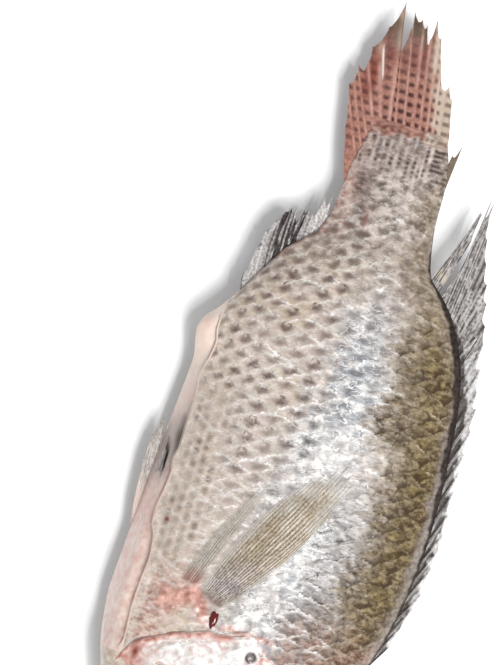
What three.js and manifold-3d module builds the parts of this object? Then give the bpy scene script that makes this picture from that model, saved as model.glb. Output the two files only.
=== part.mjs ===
// A whole raw tilapia, gutted through a slit along the belly, lying on its left side. One solid, in millimetres.
// X runs from the tail to the snout, Y from the belly to the back, and Z up through the fish's right side.
// Stations are measured along X from the root of the tail fin, where the flesh ends, towards the snout.

import * as THREE from "three";
import { mergeVertices } from "three/addons/utils/BufferGeometryUtils.js";
import Module from "manifold-3d";

const wasm = await Module();
wasm.setup();

// Driving dimensions.
const SNOUT = 250; // station of the snout, so the length without the tail fin
const FLESH_END = -14; // station where the scaly root thins out into the tail fin
const HEAD_START = 168;
const FACE_START = 236;
const TRUNK_STEP = 5;
const HEAD_STEP = 4;
const FACE_STEP = 2;
const RIGHT_POINTS = 13;
const LEFT_POINTS = 15;
const RAY_THICKNESS = 1.1;
const WEB_THICKNESS = 0.6;

const clamp = THREE.MathUtils.clamp;
const lerp = THREE.MathUtils.lerp;
const smooth = THREE.MathUtils.smoothstep;

// A smooth function through [station, value] points, which never overshoots them.
function profile(points) {
  const last = points.length - 1;
  const rise = points.slice(1).map(([s, v], i) => (v - points[i][1]) / (s - points[i][0]));
  const slope = points.map((_, i) => {
    if (i === 0) return rise[0];
    if (i === last) return rise[last - 1];
    const product = rise[i - 1] * rise[i];
    return product > 0 ? (2 * product) / (rise[i - 1] + rise[i]) : 0;
  });
  return (station) => {
    const s = clamp(station, points[0][0], points[last][0]);
    const i = clamp(points.findIndex(([at]) => at >= s) - 1, 0, last - 1);
    const [s0, v0] = points[i];
    const [s1, v1] = points[i + 1];
    const w = s1 - s0;
    const t = (s - s0) / w;
    return (
      v0 * (1 + 2 * t) * (1 - t) ** 2 +
      v1 * t * t * (3 - 2 * t) +
      w * (slope[i] * t * (1 - t) ** 2 + slope[i + 1] * t * t * (t - 1))
    );
  };
}

// The fish's outline, seen from its right side: the ridge of the back and that of the belly.
const back = profile([
  [-14, 14.5], [-5, 17.6], [5, 19], [15, 19.2], [25, 20.6], [33, 22.8], [38, 28], [44, 33.3], [52, 38],
  [62, 42], [75, 44.8], [90, 46.4], [105, 47.4], [118, 47.6], [132, 46.9], [148, 44.8], [162, 41.5],
  [178, 36], [195, 28], [212, 18.6], [228, 10.4], [240, 3], [246, -2.2], [249, -6.4], [250, -11],
]);
const belly = profile([
  [-14, -11], [-5, -12.4], [5, -14.4], [12, -14.8], [20, -16], [27, -18], [32, -22], [37, -27],
  [44, -31.5], [52, -36], [60, -41], [64, -44], [68, -47.3], [72, -48.5], [76, -47.9], [82, -46.8],
  [95, -47.6], [110, -48.7], [135, -50.2], [152, -51.2], [165, -51.8], [178, -50.4], [190, -47.2],
  [205, -41.5], [220, -34.5], [232, -28], [240, -22.4], [246, -18.2], [249, -14.8], [250, -11],
]);
const halfWidth = profile([
  [-14, 0.5], [-8, 2.6], [0, 5], [12, 6.6], [30, 8.3], [50, 11], [75, 14.5], [100, 17.5], [125, 19.6],
  [150, 20.7], [170, 20.9], [190, 19.5], [210, 16.8], [228, 13], [240, 9.4], [246, 6.2], [249, 3], [250, 0],
]);
// Height of the widest line of the body, and how full its sections are: 2 is an ellipse.
const widest = profile([[-14, 3], [20, 3.5], [60, 2], [100, 0], [170, -1], [200, -3], [230, -8], [250, -11]]);
const fullness = profile([[-14, 1.8], [60, 1.85], [150, 1.95], [190, 2.1], [250, 2.2]]);
// Height of the fish's middle plane over the table: the flank is pressed flat, and the stiff tail hangs a little.
const middle = profile([
  [-55, 13.6], [-30, 14.3], [-10, 15], [12, 15.7], [40, 16.7], [80, 17.8], [120, 18.3], [175, 18.3], [212, 17.6], [252, 17],
]);

// The slit: the upper belly flap ends at this height, in a lip, and lies on the lower flap.
const flapEdge = profile([
  [60, -41], [70, -41.3], [75, -40.4], [80, -41], [87, -42.5], [95, -41.9], [105, -42.3], [112, -42.3],
  [116.5, -43.2], [121, -42.3], [127, -42.8], [134, -43.8], [139.5, -43.5], [143, -42], [151, -41],
  [158, -41.6], [168, -42], [180, -41.3], [190, -41.5],
]);
const SLIT = { from: 64, to: 184, fade: 9, lip: 3, gap: 1.2, depth: 9, sag: 1.4, sagReach: 12 };
const slitOpen = (s) =>
  smooth(s, SLIT.from, SLIT.from + SLIT.fade) * (1 - smooth(s, SLIT.to - SLIT.fade, SLIT.to));

// Half the fish's thickness at a station and a height, from the middle plane out to the skin.
function flank(s, y) {
  const reach = y > widest(s) ? back(s) - widest(s) : widest(s) - belly(s);
  const share = Math.abs(y - widest(s)) / reach;
  const n = fullness(s);
  return halfWidth(s) * Math.max(0, 1 - share ** n) ** (1 / n);
}

// The upper flap hangs a little towards its edge.
const sag = (s, y) => SLIT.sag * slitOpen(s) * (1 - smooth(y, flapEdge(s), flapEdge(s) + SLIT.sagReach));

// A point of the skin in its section: 0 is the ridge of the back, and half a turn the ridge of the belly.
function skin(s, angle) {
  const c = Math.cos(angle);
  const power = 2 / fullness(s);
  const reach = c > 0 ? back(s) - widest(s) : widest(s) - belly(s);
  return {
    y: widest(s) + Math.sign(c) * reach * Math.abs(c) ** power,
    z: halfWidth(s) * Math.max(0, Math.sin(angle)) ** power,
  };
}

// From the fish's middle plane to the table's frame. What would sink into the table is pressed flat.
const settle = (s, y, z, floor = 0) => [s, y, Math.max(floor, middle(s) + z)];

// A closed mesh as a solid, turned so that its faces point out.
function solidOf(points, triangles) {
  const geometry = new THREE.BufferGeometry()
    .setAttribute("position", new THREE.Float32BufferAttribute(points.flat(), 3))
    .setIndex(triangles.flat());
  const merged = mergeVertices(geometry, 1e-4);
  const make = (triVerts) =>
    new wasm.Manifold(new wasm.Mesh({ numProp: 3, vertProperties: merged.attributes.position.array, triVerts }));
  const triVerts = new Uint32Array(merged.index.array);
  const made = make(triVerts);
  return made.volume() > 0 ? made : make(triVerts.map((_, i) => triVerts[3 * Math.floor(i / 3) + 2 - (i % 3)]));
}

// Triangles between rows of a grid of points. A ring row closes on itself.
function gridTriangles(rows, columns, ring = false, first = 0) {
  const made = [];
  for (let r = 0; r < rows - 1; r++) {
    for (let c = 0; c < (ring ? columns : columns - 1); c++) {
      const a = first + r * columns + c;
      const b = first + r * columns + ((c + 1) % columns);
      made.push([a, b, a + columns], [b, b + columns, a + columns]);
    }
  }
  return made;
}

// A thin solid between an outer and an inner grid of points, with a rim round it.
function slab(outer, inner, rows, columns) {
  const offset = rows * columns;
  const faces = gridTriangles(rows, columns);
  const under = faces.map(([a, b, c]) => [a + offset, c + offset, b + offset]);
  const rim = [];
  for (let c = 0; c < columns; c++) rim.push(c);
  for (let r = 1; r < rows; r++) rim.push(r * columns + columns - 1);
  for (let c = columns - 2; c >= 0; c--) rim.push((rows - 1) * columns + c);
  for (let r = rows - 2; r > 0; r--) rim.push(r * columns);
  const side = rim.flatMap((a, i) => {
    const b = rim[(i + 1) % rim.length];
    return [[a, a + offset, b], [b, a + offset, b + offset]];
  });
  return solidOf([...outer, ...inner], [...faces, ...under, ...side]);
}

// The body, from the thin end under the tail fin to the snout.
function section(s) {
  const open = slitOpen(s);
  const edge = flapEdge(s);
  const share = clamp((widest(s) - edge) / (widest(s) - belly(s)), 0, 0.985);
  const edgeAngle = Math.PI - Math.acos(share ** (fullness(s) / 2));
  const points = [];
  for (let i = 0; i < RIGHT_POINTS; i++) {
    const { y, z } = skin(s, (edgeAngle * i) / (RIGHT_POINTS - 1));
    points.push([y, z - sag(s, y)]);
  }
  const [lipY, lipZ] = points[RIGHT_POINTS - 1];
  const under = lipZ - SLIT.lip;
  const low = under - SLIT.gap;
  const opened = [
    [lipY - 0.5, lipZ - 0.45 * SLIT.lip],
    [lipY + 0.2, under],
    [lipY + SLIT.depth * open, under - 0.3],
    [lipY - 0.3, low],
    [lerp(lipY, belly(s), 0.65), 0.6 * low],
  ];
  opened.forEach(([y, z], i) => {
    const closed = skin(s, lerp(edgeAngle, Math.PI, (i + 1) / (opened.length + 1)));
    points.push([lerp(closed.y, y, open), lerp(closed.z, z, open)]);
  });
  for (let i = 0; i < LEFT_POINTS; i++) {
    const { y, z } = skin(s, Math.PI * (1 - i / LEFT_POINTS));
    points.push([y, -z]);
  }
  return points;
}

function stations() {
  const made = [];
  for (let s = FLESH_END; s < HEAD_START; s += TRUNK_STEP) made.push(s);
  for (let s = HEAD_START; s < FACE_START; s += HEAD_STEP) made.push(s);
  for (let s = FACE_START; s < SNOUT; s += FACE_STEP) made.push(s);
  made.push(SNOUT - 0.8);
  return made;
}

function body() {
  const at = stations();
  const rings = at.map((s) => section(s).map(([y, z]) => settle(s, y, z)));
  const columns = rings[0].length;
  const points = rings.flat();
  const triangles = gridTriangles(at.length, columns, true);
  const [tailEnd, snout] = [points.length, points.length + 1];
  points.push(settle(FLESH_END, widest(FLESH_END), 0), settle(SNOUT, belly(SNOUT), 0));
  for (let c = 0; c < columns; c++) {
    const next = (c + 1) % columns;
    const lastRow = (at.length - 1) * columns;
    triangles.push([tailEnd, next, c], [snout, lastRow + c, lastRow + next]);
  }
  return solidOf(points, triangles);
}

// The rays of a fin. A base line is [ray number, station, height] points, and a tip is [station, height, split],
// with split the share of the web behind the ray that is torn away.
function raysOf(bases, tips) {
  return tips.map(([s, y, split], i) => {
    const leg = Math.max(1, bases.findIndex(([at]) => at >= i));
    const [i0, s0, y0] = bases[leg - 1];
    const [i1, s1, y1] = bases[leg];
    const t = (i - i0) / (i1 - i0);
    return { base: [lerp(s0, s1, t), lerp(y0, y1, t)], tip: [s, y], split };
  });
}

// The columns of a fin: its rays, and between each two the web.
function finColumns(rays) {
  return rays.flatMap((ray, i) => {
    const column = { base: ray.base, tip: ray.tip, isRay: true };
    if (i === rays.length - 1) return [column];
    const next = rays[i + 1];
    const half = (a, b) => a.map((v, k) => (v + b[k]) / 2);
    const base = half(ray.base, next.base);
    const tip = half(ray.tip, next.tip).map((v, k) => lerp(v, base[k], ray.split));
    return [column, { base, tip, isRay: false }];
  });
}

// A fin from its rays. place(s, y, offset) gives the point at an offset from the fin's own middle.
function fin(rays, rows, bow, place) {
  const columns = finColumns(rays);
  const outer = [];
  const inner = [];
  for (let r = 0; r < rows; r++) {
    const t = r / (rows - 1);
    for (const { base, tip, isRay } of columns) {
      const s = lerp(base[0], tip[0], t);
      const y = lerp(base[1], tip[1], t) + bow * 4 * t * (1 - t);
      const half = (isRay ? lerp(RAY_THICKNESS, WEB_THICKNESS, t * t) : WEB_THICKNESS) / 2;
      outer.push(place(s, y, half, t));
      inner.push(place(s, y, -half, t));
    }
  }
  return slab(outer, inner, rows, columns.length);
}

const inMiddle = (s, y, offset) => settle(s, y, offset);

// The tail fin, lower edge to upper edge. Its lowest and highest rays start along the root of the tail.
const TAIL_BASES = [[0, 15, -13.4], [5, -4, -10], [22, -4, 15.2], [24, 4, 17.6]];
const TAIL_TIPS = [
  [2, -17.4, 0.1], [-8, -19.8, 0.05], [-15, -21, 0.05], [-22.5, -22.9, 0.05], [-26.5, -21.3, 0.05],
  [-29.6, -21.6, 0.1], [-31.2, -18.9, 0.05], [-36.5, -18.7, 0.04], [-44.7, -15.1, 0.04], [-54.9, -12, 0.05],
  [-47, -10.8, 0.05], [-38, -9, 0.03], [-46.5, -7.8, 0.05], [-52.3, -8.2, 0.05], [-50.5, -5, 0.05],
  [-49, -2.8, 0.1], [-44.5, -0.6, 0.04], [-52.8, -0.2, 0.08], [-46.8, 2.8, 0.05], [-37, 5.6, 0.04],
  [-30.3, 7.7, 0.06], [-31.4, 10.2, 0.06], [-27, 12.4, 0.05], [-14.4, 15.1, 0.75], [-14.1, 20.4, 0],
];
const tailFin = () => fin(raysOf(TAIL_BASES, TAIL_TIPS), 6, 0, inMiddle);

// The dorsal fin lies folded back. The spines follow the ridge; the soft rays end in two points over the tail.
const SPINES = { count: 17, from: 176, to: 63, length: 19, inset: 2.5 };
const spineRise = profile([
  [42, 13], [50, 9.5], [58, 6.8], [72, 5.7], [84, 4.9], [100, 4.3], [125, 4.1], [141, 3.7], [149, 2.8],
  [155, 2.3], [160, 1.6], [166, 1],
]);
const SOFT_DORSAL_BASES = [[0, 60, 40], [9, 39.5, 28.9], [15, 34.8, 22]];
const SOFT_DORSAL_TIPS = [
  [50, 46.3, 0.12], [43.7, 45.2, 0.12], [36, 43.4, 0.1], [30, 41.7, 0.08], [23.5, 39.6, 0.06], [15, 37.4, 0.06],
  [9.6, 36.2, 0.06], [1.2, 36.3, 0.2], [0.1, 35.2, 0.06], [11, 35.2, 0.06], [22, 33.9, 0.8], [18, 32.2, 0.06],
  [6.5, 33.4, 0.05], [5.6, 32.9, 0.08], [14, 30.8, 0.08], [26, 26.2, 0],
];
function dorsalFin() {
  const spines = Array.from({ length: SPINES.count }, (_, i) => {
    const s = lerp(SPINES.from, SPINES.to, i / (SPINES.count - 1));
    const end = s - SPINES.length;
    return { base: [s, back(s) - SPINES.inset], tip: [end, back(end) + spineRise(end)], split: 0.2 };
  });
  return fin([...spines, ...raysOf(SOFT_DORSAL_BASES, SOFT_DORSAL_TIPS)], 4, 0, inMiddle);
}

// The anal fin, clumped and torn: three spines in front, then the soft rays.
const ANAL_BASES = [[0, 58, -37.5], [4, 47.5, -31.2], [12, 29, -16]];
const ANAL_TIPS = [
  [49.7, -38.8, 0.3], [41.5, -37, 0.06], [34.2, -35.6, 0.05], [29, -33.2, 0.05], [25.4, -30.8, 0.04],
  [24, -29.3, 0.08], [24, -27.4, 0.25], [23.1, -24.9, 0.1], [22.4, -23.5, 0.15], [23.6, -21.8, 0.15],
  [22.1, -20.5, 0.1], [16.7, -19.4, 0.3], [16.1, -17.2, 0],
];
const analFin = () => fin(raysOf(ANAL_BASES, ANAL_TIPS), 4, -0.4, inMiddle);

// A pectoral fin lies on the flank, split in two lobes. Each side has one; the lower is pressed under the body.
const PECTORAL = { lift: 0.55, sink: 1.2 };
const PECTORAL_BASES = [[0, 160.4, -14], [5, 158.8, -19], [9, 156.6, -22.3], [14, 154.2, -29.6]];
const PECTORAL_TIPS = [
  [121.5, 11.2, 0.06], [113, 15.5, 0.08], [107.5, 17.2, 0.06], [104, 16.4, 0.08], [102, 14.2, 0.05],
  [106, 11.8, 0.08], [110.5, 8.4, 0.06], [114.5, 4.6, 0.05], [119, 0.4, 0.06], [125, -4.8, 0.86],
  [117, -8.2, 0.06], [115.5, -10, 0.08], [117.5, -12.4, 0.08], [123, -16, 0.1], [132, -20.6, 0],
];
const pectoralFin = (side) =>
  fin(
    raysOf(PECTORAL_BASES, PECTORAL_TIPS),
    8,
    -0.8,
    (s, y, offset) =>
      offset > 0
        ? settle(s, y, side * (flank(s, y) + PECTORAL.lift + offset), 0.05)
        : settle(s, y, side * (flank(s, y) - PECTORAL.sink), PECTORAL.sink),
  );

// The pelvic fins lie folded along the belly, pointing back: the left one below, the right one on the lower flap.
const LEFT_PELVIC_BASES = [[0, 148, -49.6], [6, 144.5, -46]];
const LEFT_PELVIC_TIPS = [
  [126, -52.5, 0.04], [118, -53.2, 0.05], [111, -52.7, 0.06], [105.4, -51.2, 0.06], [102.4, -50, 0.08],
  [109, -49.2, 0.1], [117, -48.4, 0],
];
const RIGHT_PELVIC_BASES = [[0, 148.4, -46.4], [4, 146.2, -43.8]];
const RIGHT_PELVIC_TIPS = [
  [123, -48, 0.05], [112.5, -47.6, 0.06], [110, -47.1, 0.08], [114, -46.3, 0.08], [124, -45.2, 0],
];
const PELVIC_LEVEL = { left: -0.2, right: 2.4 };
const pelvicFin = (rays, level) => fin(rays, 6, -1, (s, y, offset) => settle(s, y, level + offset));

// The gill cover: a plate that stands off the flank, with a free edge curving from the shoulder to the throat.
const gillEdge = profile([
  [-44, 190], [-41, 186], [-38, 181.4], [-35, 178], [-31, 175.6], [-22, 174], [-18, 171.2], [-15, 168.2],
  [-6, 166.8], [-1, 166], [5, 167.2], [11, 170.5], [15, 174.5], [19, 181],
]);
const cheekEdge = profile([[-44, 203], [-36, 201], [-24, 196], [-8, 193], [8, 193.5], [19, 197]]);
const GILL_COVER = { low: -43, high: 18, rows: 12, columns: 6, lift: 1.5, sink: 1.5 };
function gillCover(side) {
  const { low, high, rows, columns, lift, sink } = GILL_COVER;
  const outer = [];
  const inner = [];
  for (let r = 0; r < rows; r++) {
    const y = lerp(low, high, r / (rows - 1));
    const fadeEnds = Math.sin((Math.PI * (r + 0.35)) / (rows - 0.3)) ** 0.5;
    for (let c = 0; c < columns; c++) {
      const t = c / (columns - 1);
      const s = lerp(gillEdge(y), cheekEdge(y), t);
      const rise = fadeEnds * lift * (1 - t) ** 0.7 - 0.4 * t;
      outer.push(settle(s, y, side * (flank(s, y) + rise), 0.05));
      inner.push(settle(s, y, side * (flank(s, y) - sink), 0.05 + sink));
    }
  }
  return slab(outer, inner, rows, columns);
}

// The lips: two fat rolls round the snout, meeting along the mouth's line.
const MOUTH = { corner: 233, cornerY: -19, frontY: -11.5, lipRadius: 2.3, steps: 24, sides: 8, inset: 0.8 };
const lipStations = [233, 236, 239, 242, 244.5, 246.5, 248, 249.2];
function lip(upOrDown) {
  const half = lipStations.map((s) => {
    const t = (s - MOUTH.corner) / (SNOUT - MOUTH.corner);
    const y = lerp(MOUTH.cornerY, MOUTH.frontY, smooth(t, 0, 1)) + upOrDown * 0.75 * MOUTH.lipRadius;
    return [s, y, flank(s, clamp(y, belly(s) + 0.8, back(s) - 0.8)) - MOUTH.inset];
  });
  const front = [SNOUT - 0.4, MOUTH.frontY + upOrDown * 0.75 * MOUTH.lipRadius, 0];
  const path = [...half, front, ...half.map(([s, y, z]) => [s, y, -z]).reverse()];
  const curve = new THREE.CatmullRomCurve3(path.map(([s, y, z]) => new THREE.Vector3(...settle(s, y, z))));
  const up = new THREE.Vector3(0, 1, 0);
  const points = [];
  for (let i = 0; i <= MOUTH.steps; i++) {
    const t = i / MOUTH.steps;
    const centre = curve.getPointAt(t);
    const side = new THREE.Vector3().crossVectors(curve.getTangentAt(t), up).normalize();
    const radius = MOUTH.lipRadius * (0.3 + 0.7 * Math.sin(Math.PI * t) ** 0.5);
    for (let k = 0; k < MOUTH.sides; k++) {
      const turn = (2 * Math.PI * k) / MOUTH.sides;
      const out = side.clone().multiplyScalar(radius * Math.cos(turn));
      points.push(out.addScaledVector(up, radius * Math.sin(turn)).add(centre).toArray());
    }
  }
  const end = MOUTH.steps * MOUTH.sides;
  const triangles = gridTriangles(MOUTH.steps + 1, MOUTH.sides, true);
  for (let k = 1; k < MOUTH.sides - 1; k++) triangles.push([0, k + 1, k], [end, end + k, end + k + 1]);
  return solidOf(points, triangles);
}

// An eye: a low dome that bulges from the side of the head.
const EYE = { station: 211, height: 5.5, radius: 7.2, bulge: 2, depth: 5 };
function eye(side) {
  const dome = new THREE.SphereGeometry(1, 16, 10);
  dome.scale(EYE.radius, EYE.radius, EYE.depth);
  const z = side * (flank(EYE.station, EYE.height) + EYE.bulge - EYE.depth);
  dome.translate(...settle(EYE.station, EYE.height, z));
  dome.deleteAttribute("normal");
  dome.deleteAttribute("uv");
  const merged = mergeVertices(dome, 1e-3);
  const points = [];
  for (let i = 0; i < merged.attributes.position.count; i++) {
    const at = new THREE.Vector3().fromBufferAttribute(merged.attributes.position, i);
    points.push([at.x, at.y, Math.max(0.05, at.z)]);
  }
  const corners = [...merged.index.array];
  return solidOf(points, Array.from({ length: corners.length / 3 }, (_, i) => corners.slice(3 * i, 3 * i + 3)));
}

const solids = [
  body(),
  tailFin(),
  dorsalFin(),
  analFin(),
  pectoralFin(1),
  pectoralFin(-1),
  pelvicFin(raysOf(LEFT_PELVIC_BASES, LEFT_PELVIC_TIPS), PELVIC_LEVEL.left),
  pelvicFin(raysOf(RIGHT_PELVIC_BASES, RIGHT_PELVIC_TIPS), PELVIC_LEVEL.right),
  gillCover(1),
  gillCover(-1),
  lip(1),
  lip(-1),
  eye(1),
  eye(-1),
];
const whole = solids.reduce((joined, next) => joined.add(next));
const mesh = whole.getMesh();
const geometry = new THREE.BufferGeometry()
  .setAttribute("position", new THREE.Float32BufferAttribute(mesh.vertProperties, mesh.numProp))
  .setIndex(new THREE.BufferAttribute(mesh.triVerts, 1));

const wetSkin = new THREE.MeshStandardMaterial({ color: 0xb5a898, roughness: 0.35, metalness: 0 });
const fish = new THREE.Mesh(geometry, wetSkin);
fish.name = "fish";

// The frame's origin is under the middle of the fish, on the table.
geometry.computeBoundingBox();
const centre = geometry.boundingBox.getCenter(new THREE.Vector3());
fish.position.set(-centre.x, -centre.y, -geometry.boundingBox.min.z);

const part = new THREE.Group();
part.add(fish);
export default part;
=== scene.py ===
import bpy
import numpy as np
from mathutils import Matrix, Vector


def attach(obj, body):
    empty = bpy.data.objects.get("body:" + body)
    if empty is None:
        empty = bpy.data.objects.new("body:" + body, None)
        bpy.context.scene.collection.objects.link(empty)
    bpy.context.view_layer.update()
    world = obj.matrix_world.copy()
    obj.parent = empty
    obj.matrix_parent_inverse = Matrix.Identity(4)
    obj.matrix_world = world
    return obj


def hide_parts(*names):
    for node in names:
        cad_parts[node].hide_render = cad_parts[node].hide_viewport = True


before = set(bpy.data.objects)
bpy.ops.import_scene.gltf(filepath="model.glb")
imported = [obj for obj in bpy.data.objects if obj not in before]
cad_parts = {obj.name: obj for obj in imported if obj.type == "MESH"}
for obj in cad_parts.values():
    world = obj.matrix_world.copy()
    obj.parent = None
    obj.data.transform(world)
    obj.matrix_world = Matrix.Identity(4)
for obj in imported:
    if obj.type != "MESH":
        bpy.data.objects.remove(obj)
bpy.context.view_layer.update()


# The white worktop that the fish lies on, the soft light of the room and one broad window to the right.
# The camera looks straight down, with the fish's tail at the top of the picture.
def paint(red, green, blue, strength=0.66):
    # The colour that a thing needs, to look like this one of 0 to 255 under the bright light of the room.
    values = [v / 255 for v in (red, green, blue)]
    linear = [((v + 0.055) / 1.055) ** 2.4 if v > 0.04 else v / 12.92 for v in values]
    return [strength * v for v in linear] + [1.0]


def new_finish(name):
    finish = bpy.data.materials.new(name)
    finish.use_nodes = True
    finish.node_tree.nodes.clear()
    return finish.node_tree


def feed(tree, source, target):
    # A socket is linked, and a plain value or colour is set.
    if isinstance(source, bpy.types.NodeSocket):
        tree.links.new(source, target)
    elif source is not None:
        target.default_value = source


def grain(tree, size_mm, detail=2.0, stretch=(1.0, 1.0, 1.0)):
    # Fine mottling, as a value about 0.5, with a real size in millimetres.
    place = tree.nodes.new("ShaderNodeTexCoord")
    scaled = tree.nodes.new("ShaderNodeMapping")
    scaled.inputs["Scale"].default_value = [1000 / size_mm / k for k in stretch]
    tree.links.new(place.outputs["Object"], scaled.inputs["Vector"])
    noise = tree.nodes.new("ShaderNodeTexNoise")
    noise.inputs["Scale"].default_value = 1.0
    noise.inputs["Detail"].default_value = detail
    tree.links.new(scaled.outputs["Vector"], noise.inputs["Vector"])
    return noise.outputs["Fac"]


def combine(tree, operation, first, second=None, clamp=False):
    node = tree.nodes.new("ShaderNodeMath")
    node.operation = operation
    node.use_clamp = clamp
    feed(tree, first, node.inputs[0])
    feed(tree, second, node.inputs[1])
    return node.outputs[0]


def times(tree, share, *others):
    for other in others:
        share = combine(tree, "MULTIPLY", share, other)
    return share


def spread(tree, value, low, high, to_low=0.0, to_high=1.0):
    node = tree.nodes.new("ShaderNodeMapRange")
    feed(tree, value, node.inputs["Value"])
    for socket, number in zip(("From Min", "From Max", "To Min", "To Max"), (low, high, to_low, to_high)):
        node.inputs[socket].default_value = number
    return node.outputs["Result"]


def tint(tree, factor, below, above, way="MIX"):
    # A mix of two colours, each a socket or the numbers of a paint.
    node = tree.nodes.new("ShaderNodeMix")
    node.data_type = "RGBA"
    node.blend_type = way
    node.clamp_factor = True
    feed(tree, factor, node.inputs[0])
    for colour, socket in ((below, node.inputs[6]), (above, node.inputs[7])):
        feed(tree, paint(*colour) if isinstance(colour, tuple) else colour, socket)
    return node.outputs[2]


def bumped(tree, height, depth_mm, before=None):
    node = tree.nodes.new("ShaderNodeBump")
    node.inputs["Distance"].default_value = depth_mm / 1000
    node.inputs["Strength"].default_value = 1.0
    feed(tree, height, node.inputs["Height"])
    feed(tree, before, node.inputs["Normal"])
    return node.outputs["Normal"]


def coat(tree, colour, roughness, normal, wet, wet_roughness=0.12, level=0.25, flesh=0.0, solid=None):
    # The finished surface, with a wet film over it. The solid share is what isn't seen through.
    shader = tree.nodes.new("ShaderNodeBsdfPrincipled")
    feed(tree, solid, shader.inputs["Alpha"])
    feed(tree, colour, shader.inputs["Base Color"])
    feed(tree, roughness, shader.inputs["Roughness"])
    feed(tree, normal, shader.inputs["Normal"])
    shader.inputs["Specular IOR Level"].default_value = level
    feed(tree, wet, shader.inputs["Coat Weight"])
    shader.inputs["Coat Roughness"].default_value = wet_roughness
    shader.inputs["Coat IOR"].default_value = 1.34
    if flesh > 0:
        shader.inputs["Subsurface Weight"].default_value = flesh
        shader.inputs["Subsurface Radius"].default_value = (1.0, 0.45, 0.3)
        shader.inputs["Subsurface Scale"].default_value = 0.0015
    end = tree.nodes.new("ShaderNodeOutputMaterial")
    tree.links.new(shader.outputs[0], end.inputs["Surface"])


worktop_finish = new_finish("white_worktop")
worktop_colour = tint(worktop_finish, grain(worktop_finish, 40), (243, 243, 243, 1), (247, 247, 247, 1))
coat(worktop_finish, worktop_colour, 0.6, None, wet=0.0, level=0.2)
worktop_mesh = bpy.data.meshes.new("worktop")
worktop_mesh.from_pydata([(-3, -3, 0), (3, -3, 0), (3, 3, 0), (-3, 3, 0)], [], [(0, 1, 2, 3)])
worktop_mesh.materials.append(bpy.data.materials["white_worktop"])
worktop = bpy.data.objects.new("worktop", worktop_mesh)
bpy.context.scene.collection.objects.link(worktop)

camera_data = bpy.data.cameras.new("camera")
camera_data.sensor_width = 36
camera_data.lens = 223.6
camera_data.clip_start = 0.05
camera_data.clip_end = 20
camera = bpy.data.objects.new("camera", camera_data)
camera_place = (-0.0301, -0.0297, 1.419)
picture_right = Vector((-0.2873, 0.9578, 0)).normalized()
picture_up = Vector((-0.9578, -0.2873, 0)).normalized()
picture_axes = Matrix((picture_right, picture_up, picture_right.cross(picture_up))).transposed()
camera.matrix_world = Matrix.Translation(camera_place) @ picture_axes.to_4x4()
bpy.context.scene.collection.objects.link(camera)
bpy.context.scene.camera = camera

room = bpy.data.worlds.new("room")
bpy.context.scene.world = room
room.use_nodes = True
room.node_tree.nodes["Background"].inputs["Color"].default_value = (0.96, 0.98, 1.0, 1)
room.node_tree.nodes["Background"].inputs["Strength"].default_value = 0.61
for name, place, side, watts in (
    ("window", (0.40, 0.64, 1.56), 0.66, 35.5),
    ("lamp", (0.05, 0.42, 1.7), 0.1, 5),
):
    light = bpy.data.lights.new(name, "AREA")
    light.shape = "RECTANGLE"
    light.size = side
    light.size_y = side
    light.energy = watts
    holder = bpy.data.objects.new(name, light)
    holder.location = place
    holder.rotation_mode = "QUATERNION"
    holder.rotation_quaternion = (-Vector(place)).to_track_quat("-Z", "Y")
    bpy.context.scene.collection.objects.link(holder)
bpy.context.scene.view_settings.view_transform = "Standard"
bpy.context.scene.view_settings.look = "None"


# The scaly skin of the trunk and the tail's root, on the right side that faces up and on the left side below.
# It is one wet sheet of overlapping scales, from the ridge of the back to the edge of the upper belly flap.
# Places on the fish are millimetres: s from the tail's root to the snout, y across, from belly to back.
def profile(points):
    # A smooth function through [place, value] points, which never overshoots them.
    at, value = np.array(points, float).T
    width = np.diff(at)
    rise = np.diff(value) / width
    product = rise[:-1] * rise[1:]
    total = rise[:-1] + rise[1:]
    inner = np.where(product > 0, 2 * product / np.where(total == 0, 1, total), 0)
    slope = np.concatenate([rise[:1], inner, rise[-1:]])

    def curve(place):
        p = np.clip(place, at[0], at[-1])
        i = np.clip(np.searchsorted(at, p, side="left") - 1, 0, len(width) - 1)
        t = (p - at[i]) / width[i]
        ends = value[i] * (1 + 2 * t) * (1 - t) ** 2 + value[i + 1] * t * t * (3 - 2 * t)
        return ends + width[i] * (slope[i] * t * (1 - t) ** 2 + slope[i + 1] * t * t * (t - 1))

    return curve


def smooth(value, start, end):
    # Rises from 0 at the start to 1 at the end. The end may lie below the start.
    t = np.clip((value - start) / (end - start), 0, 1)
    return t * t * (3 - 2 * t)


def hump(value, centre, reach, power=2):
    return np.exp(-np.abs((value - centre) / reach) ** power)


def patch(s, y, at_s, at_y, reach_s, reach_y, power=1.0):
    # A soft-edged oval spot on the fish, with a harder edge for a higher power.
    return np.exp(-(((s - at_s) / reach_s) ** 2 + ((y - at_y) / reach_y) ** 2) ** power)


def off_whole(value):
    return value - np.round(value)


tail_root = -14
snout = 250
back = profile([
    (-14, 14.5), (-5, 17.6), (5, 19), (15, 19.2), (25, 20.6), (33, 22.8), (38, 28), (44, 33.3), (52, 38),
    (62, 42), (75, 44.8), (90, 46.4), (105, 47.4), (118, 47.6), (132, 46.9), (148, 44.8), (162, 41.5),
    (178, 36), (195, 28), (212, 18.6), (228, 10.4), (240, 3), (246, -2.2), (249, -6.4), (250, -11),
])
belly = profile([
    (-14, -11), (-5, -12.4), (5, -14.4), (12, -14.8), (20, -16), (27, -18), (32, -22), (37, -27),
    (44, -31.5), (52, -36), (60, -41), (64, -44), (68, -47.3), (72, -48.5), (76, -47.9), (82, -46.8),
    (95, -47.6), (110, -48.7), (135, -50.2), (152, -51.2), (165, -51.8), (178, -50.4), (190, -47.2),
    (205, -41.5), (220, -34.5), (232, -28), (240, -22.4), (246, -18.2), (249, -14.8), (250, -11),
])
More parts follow.
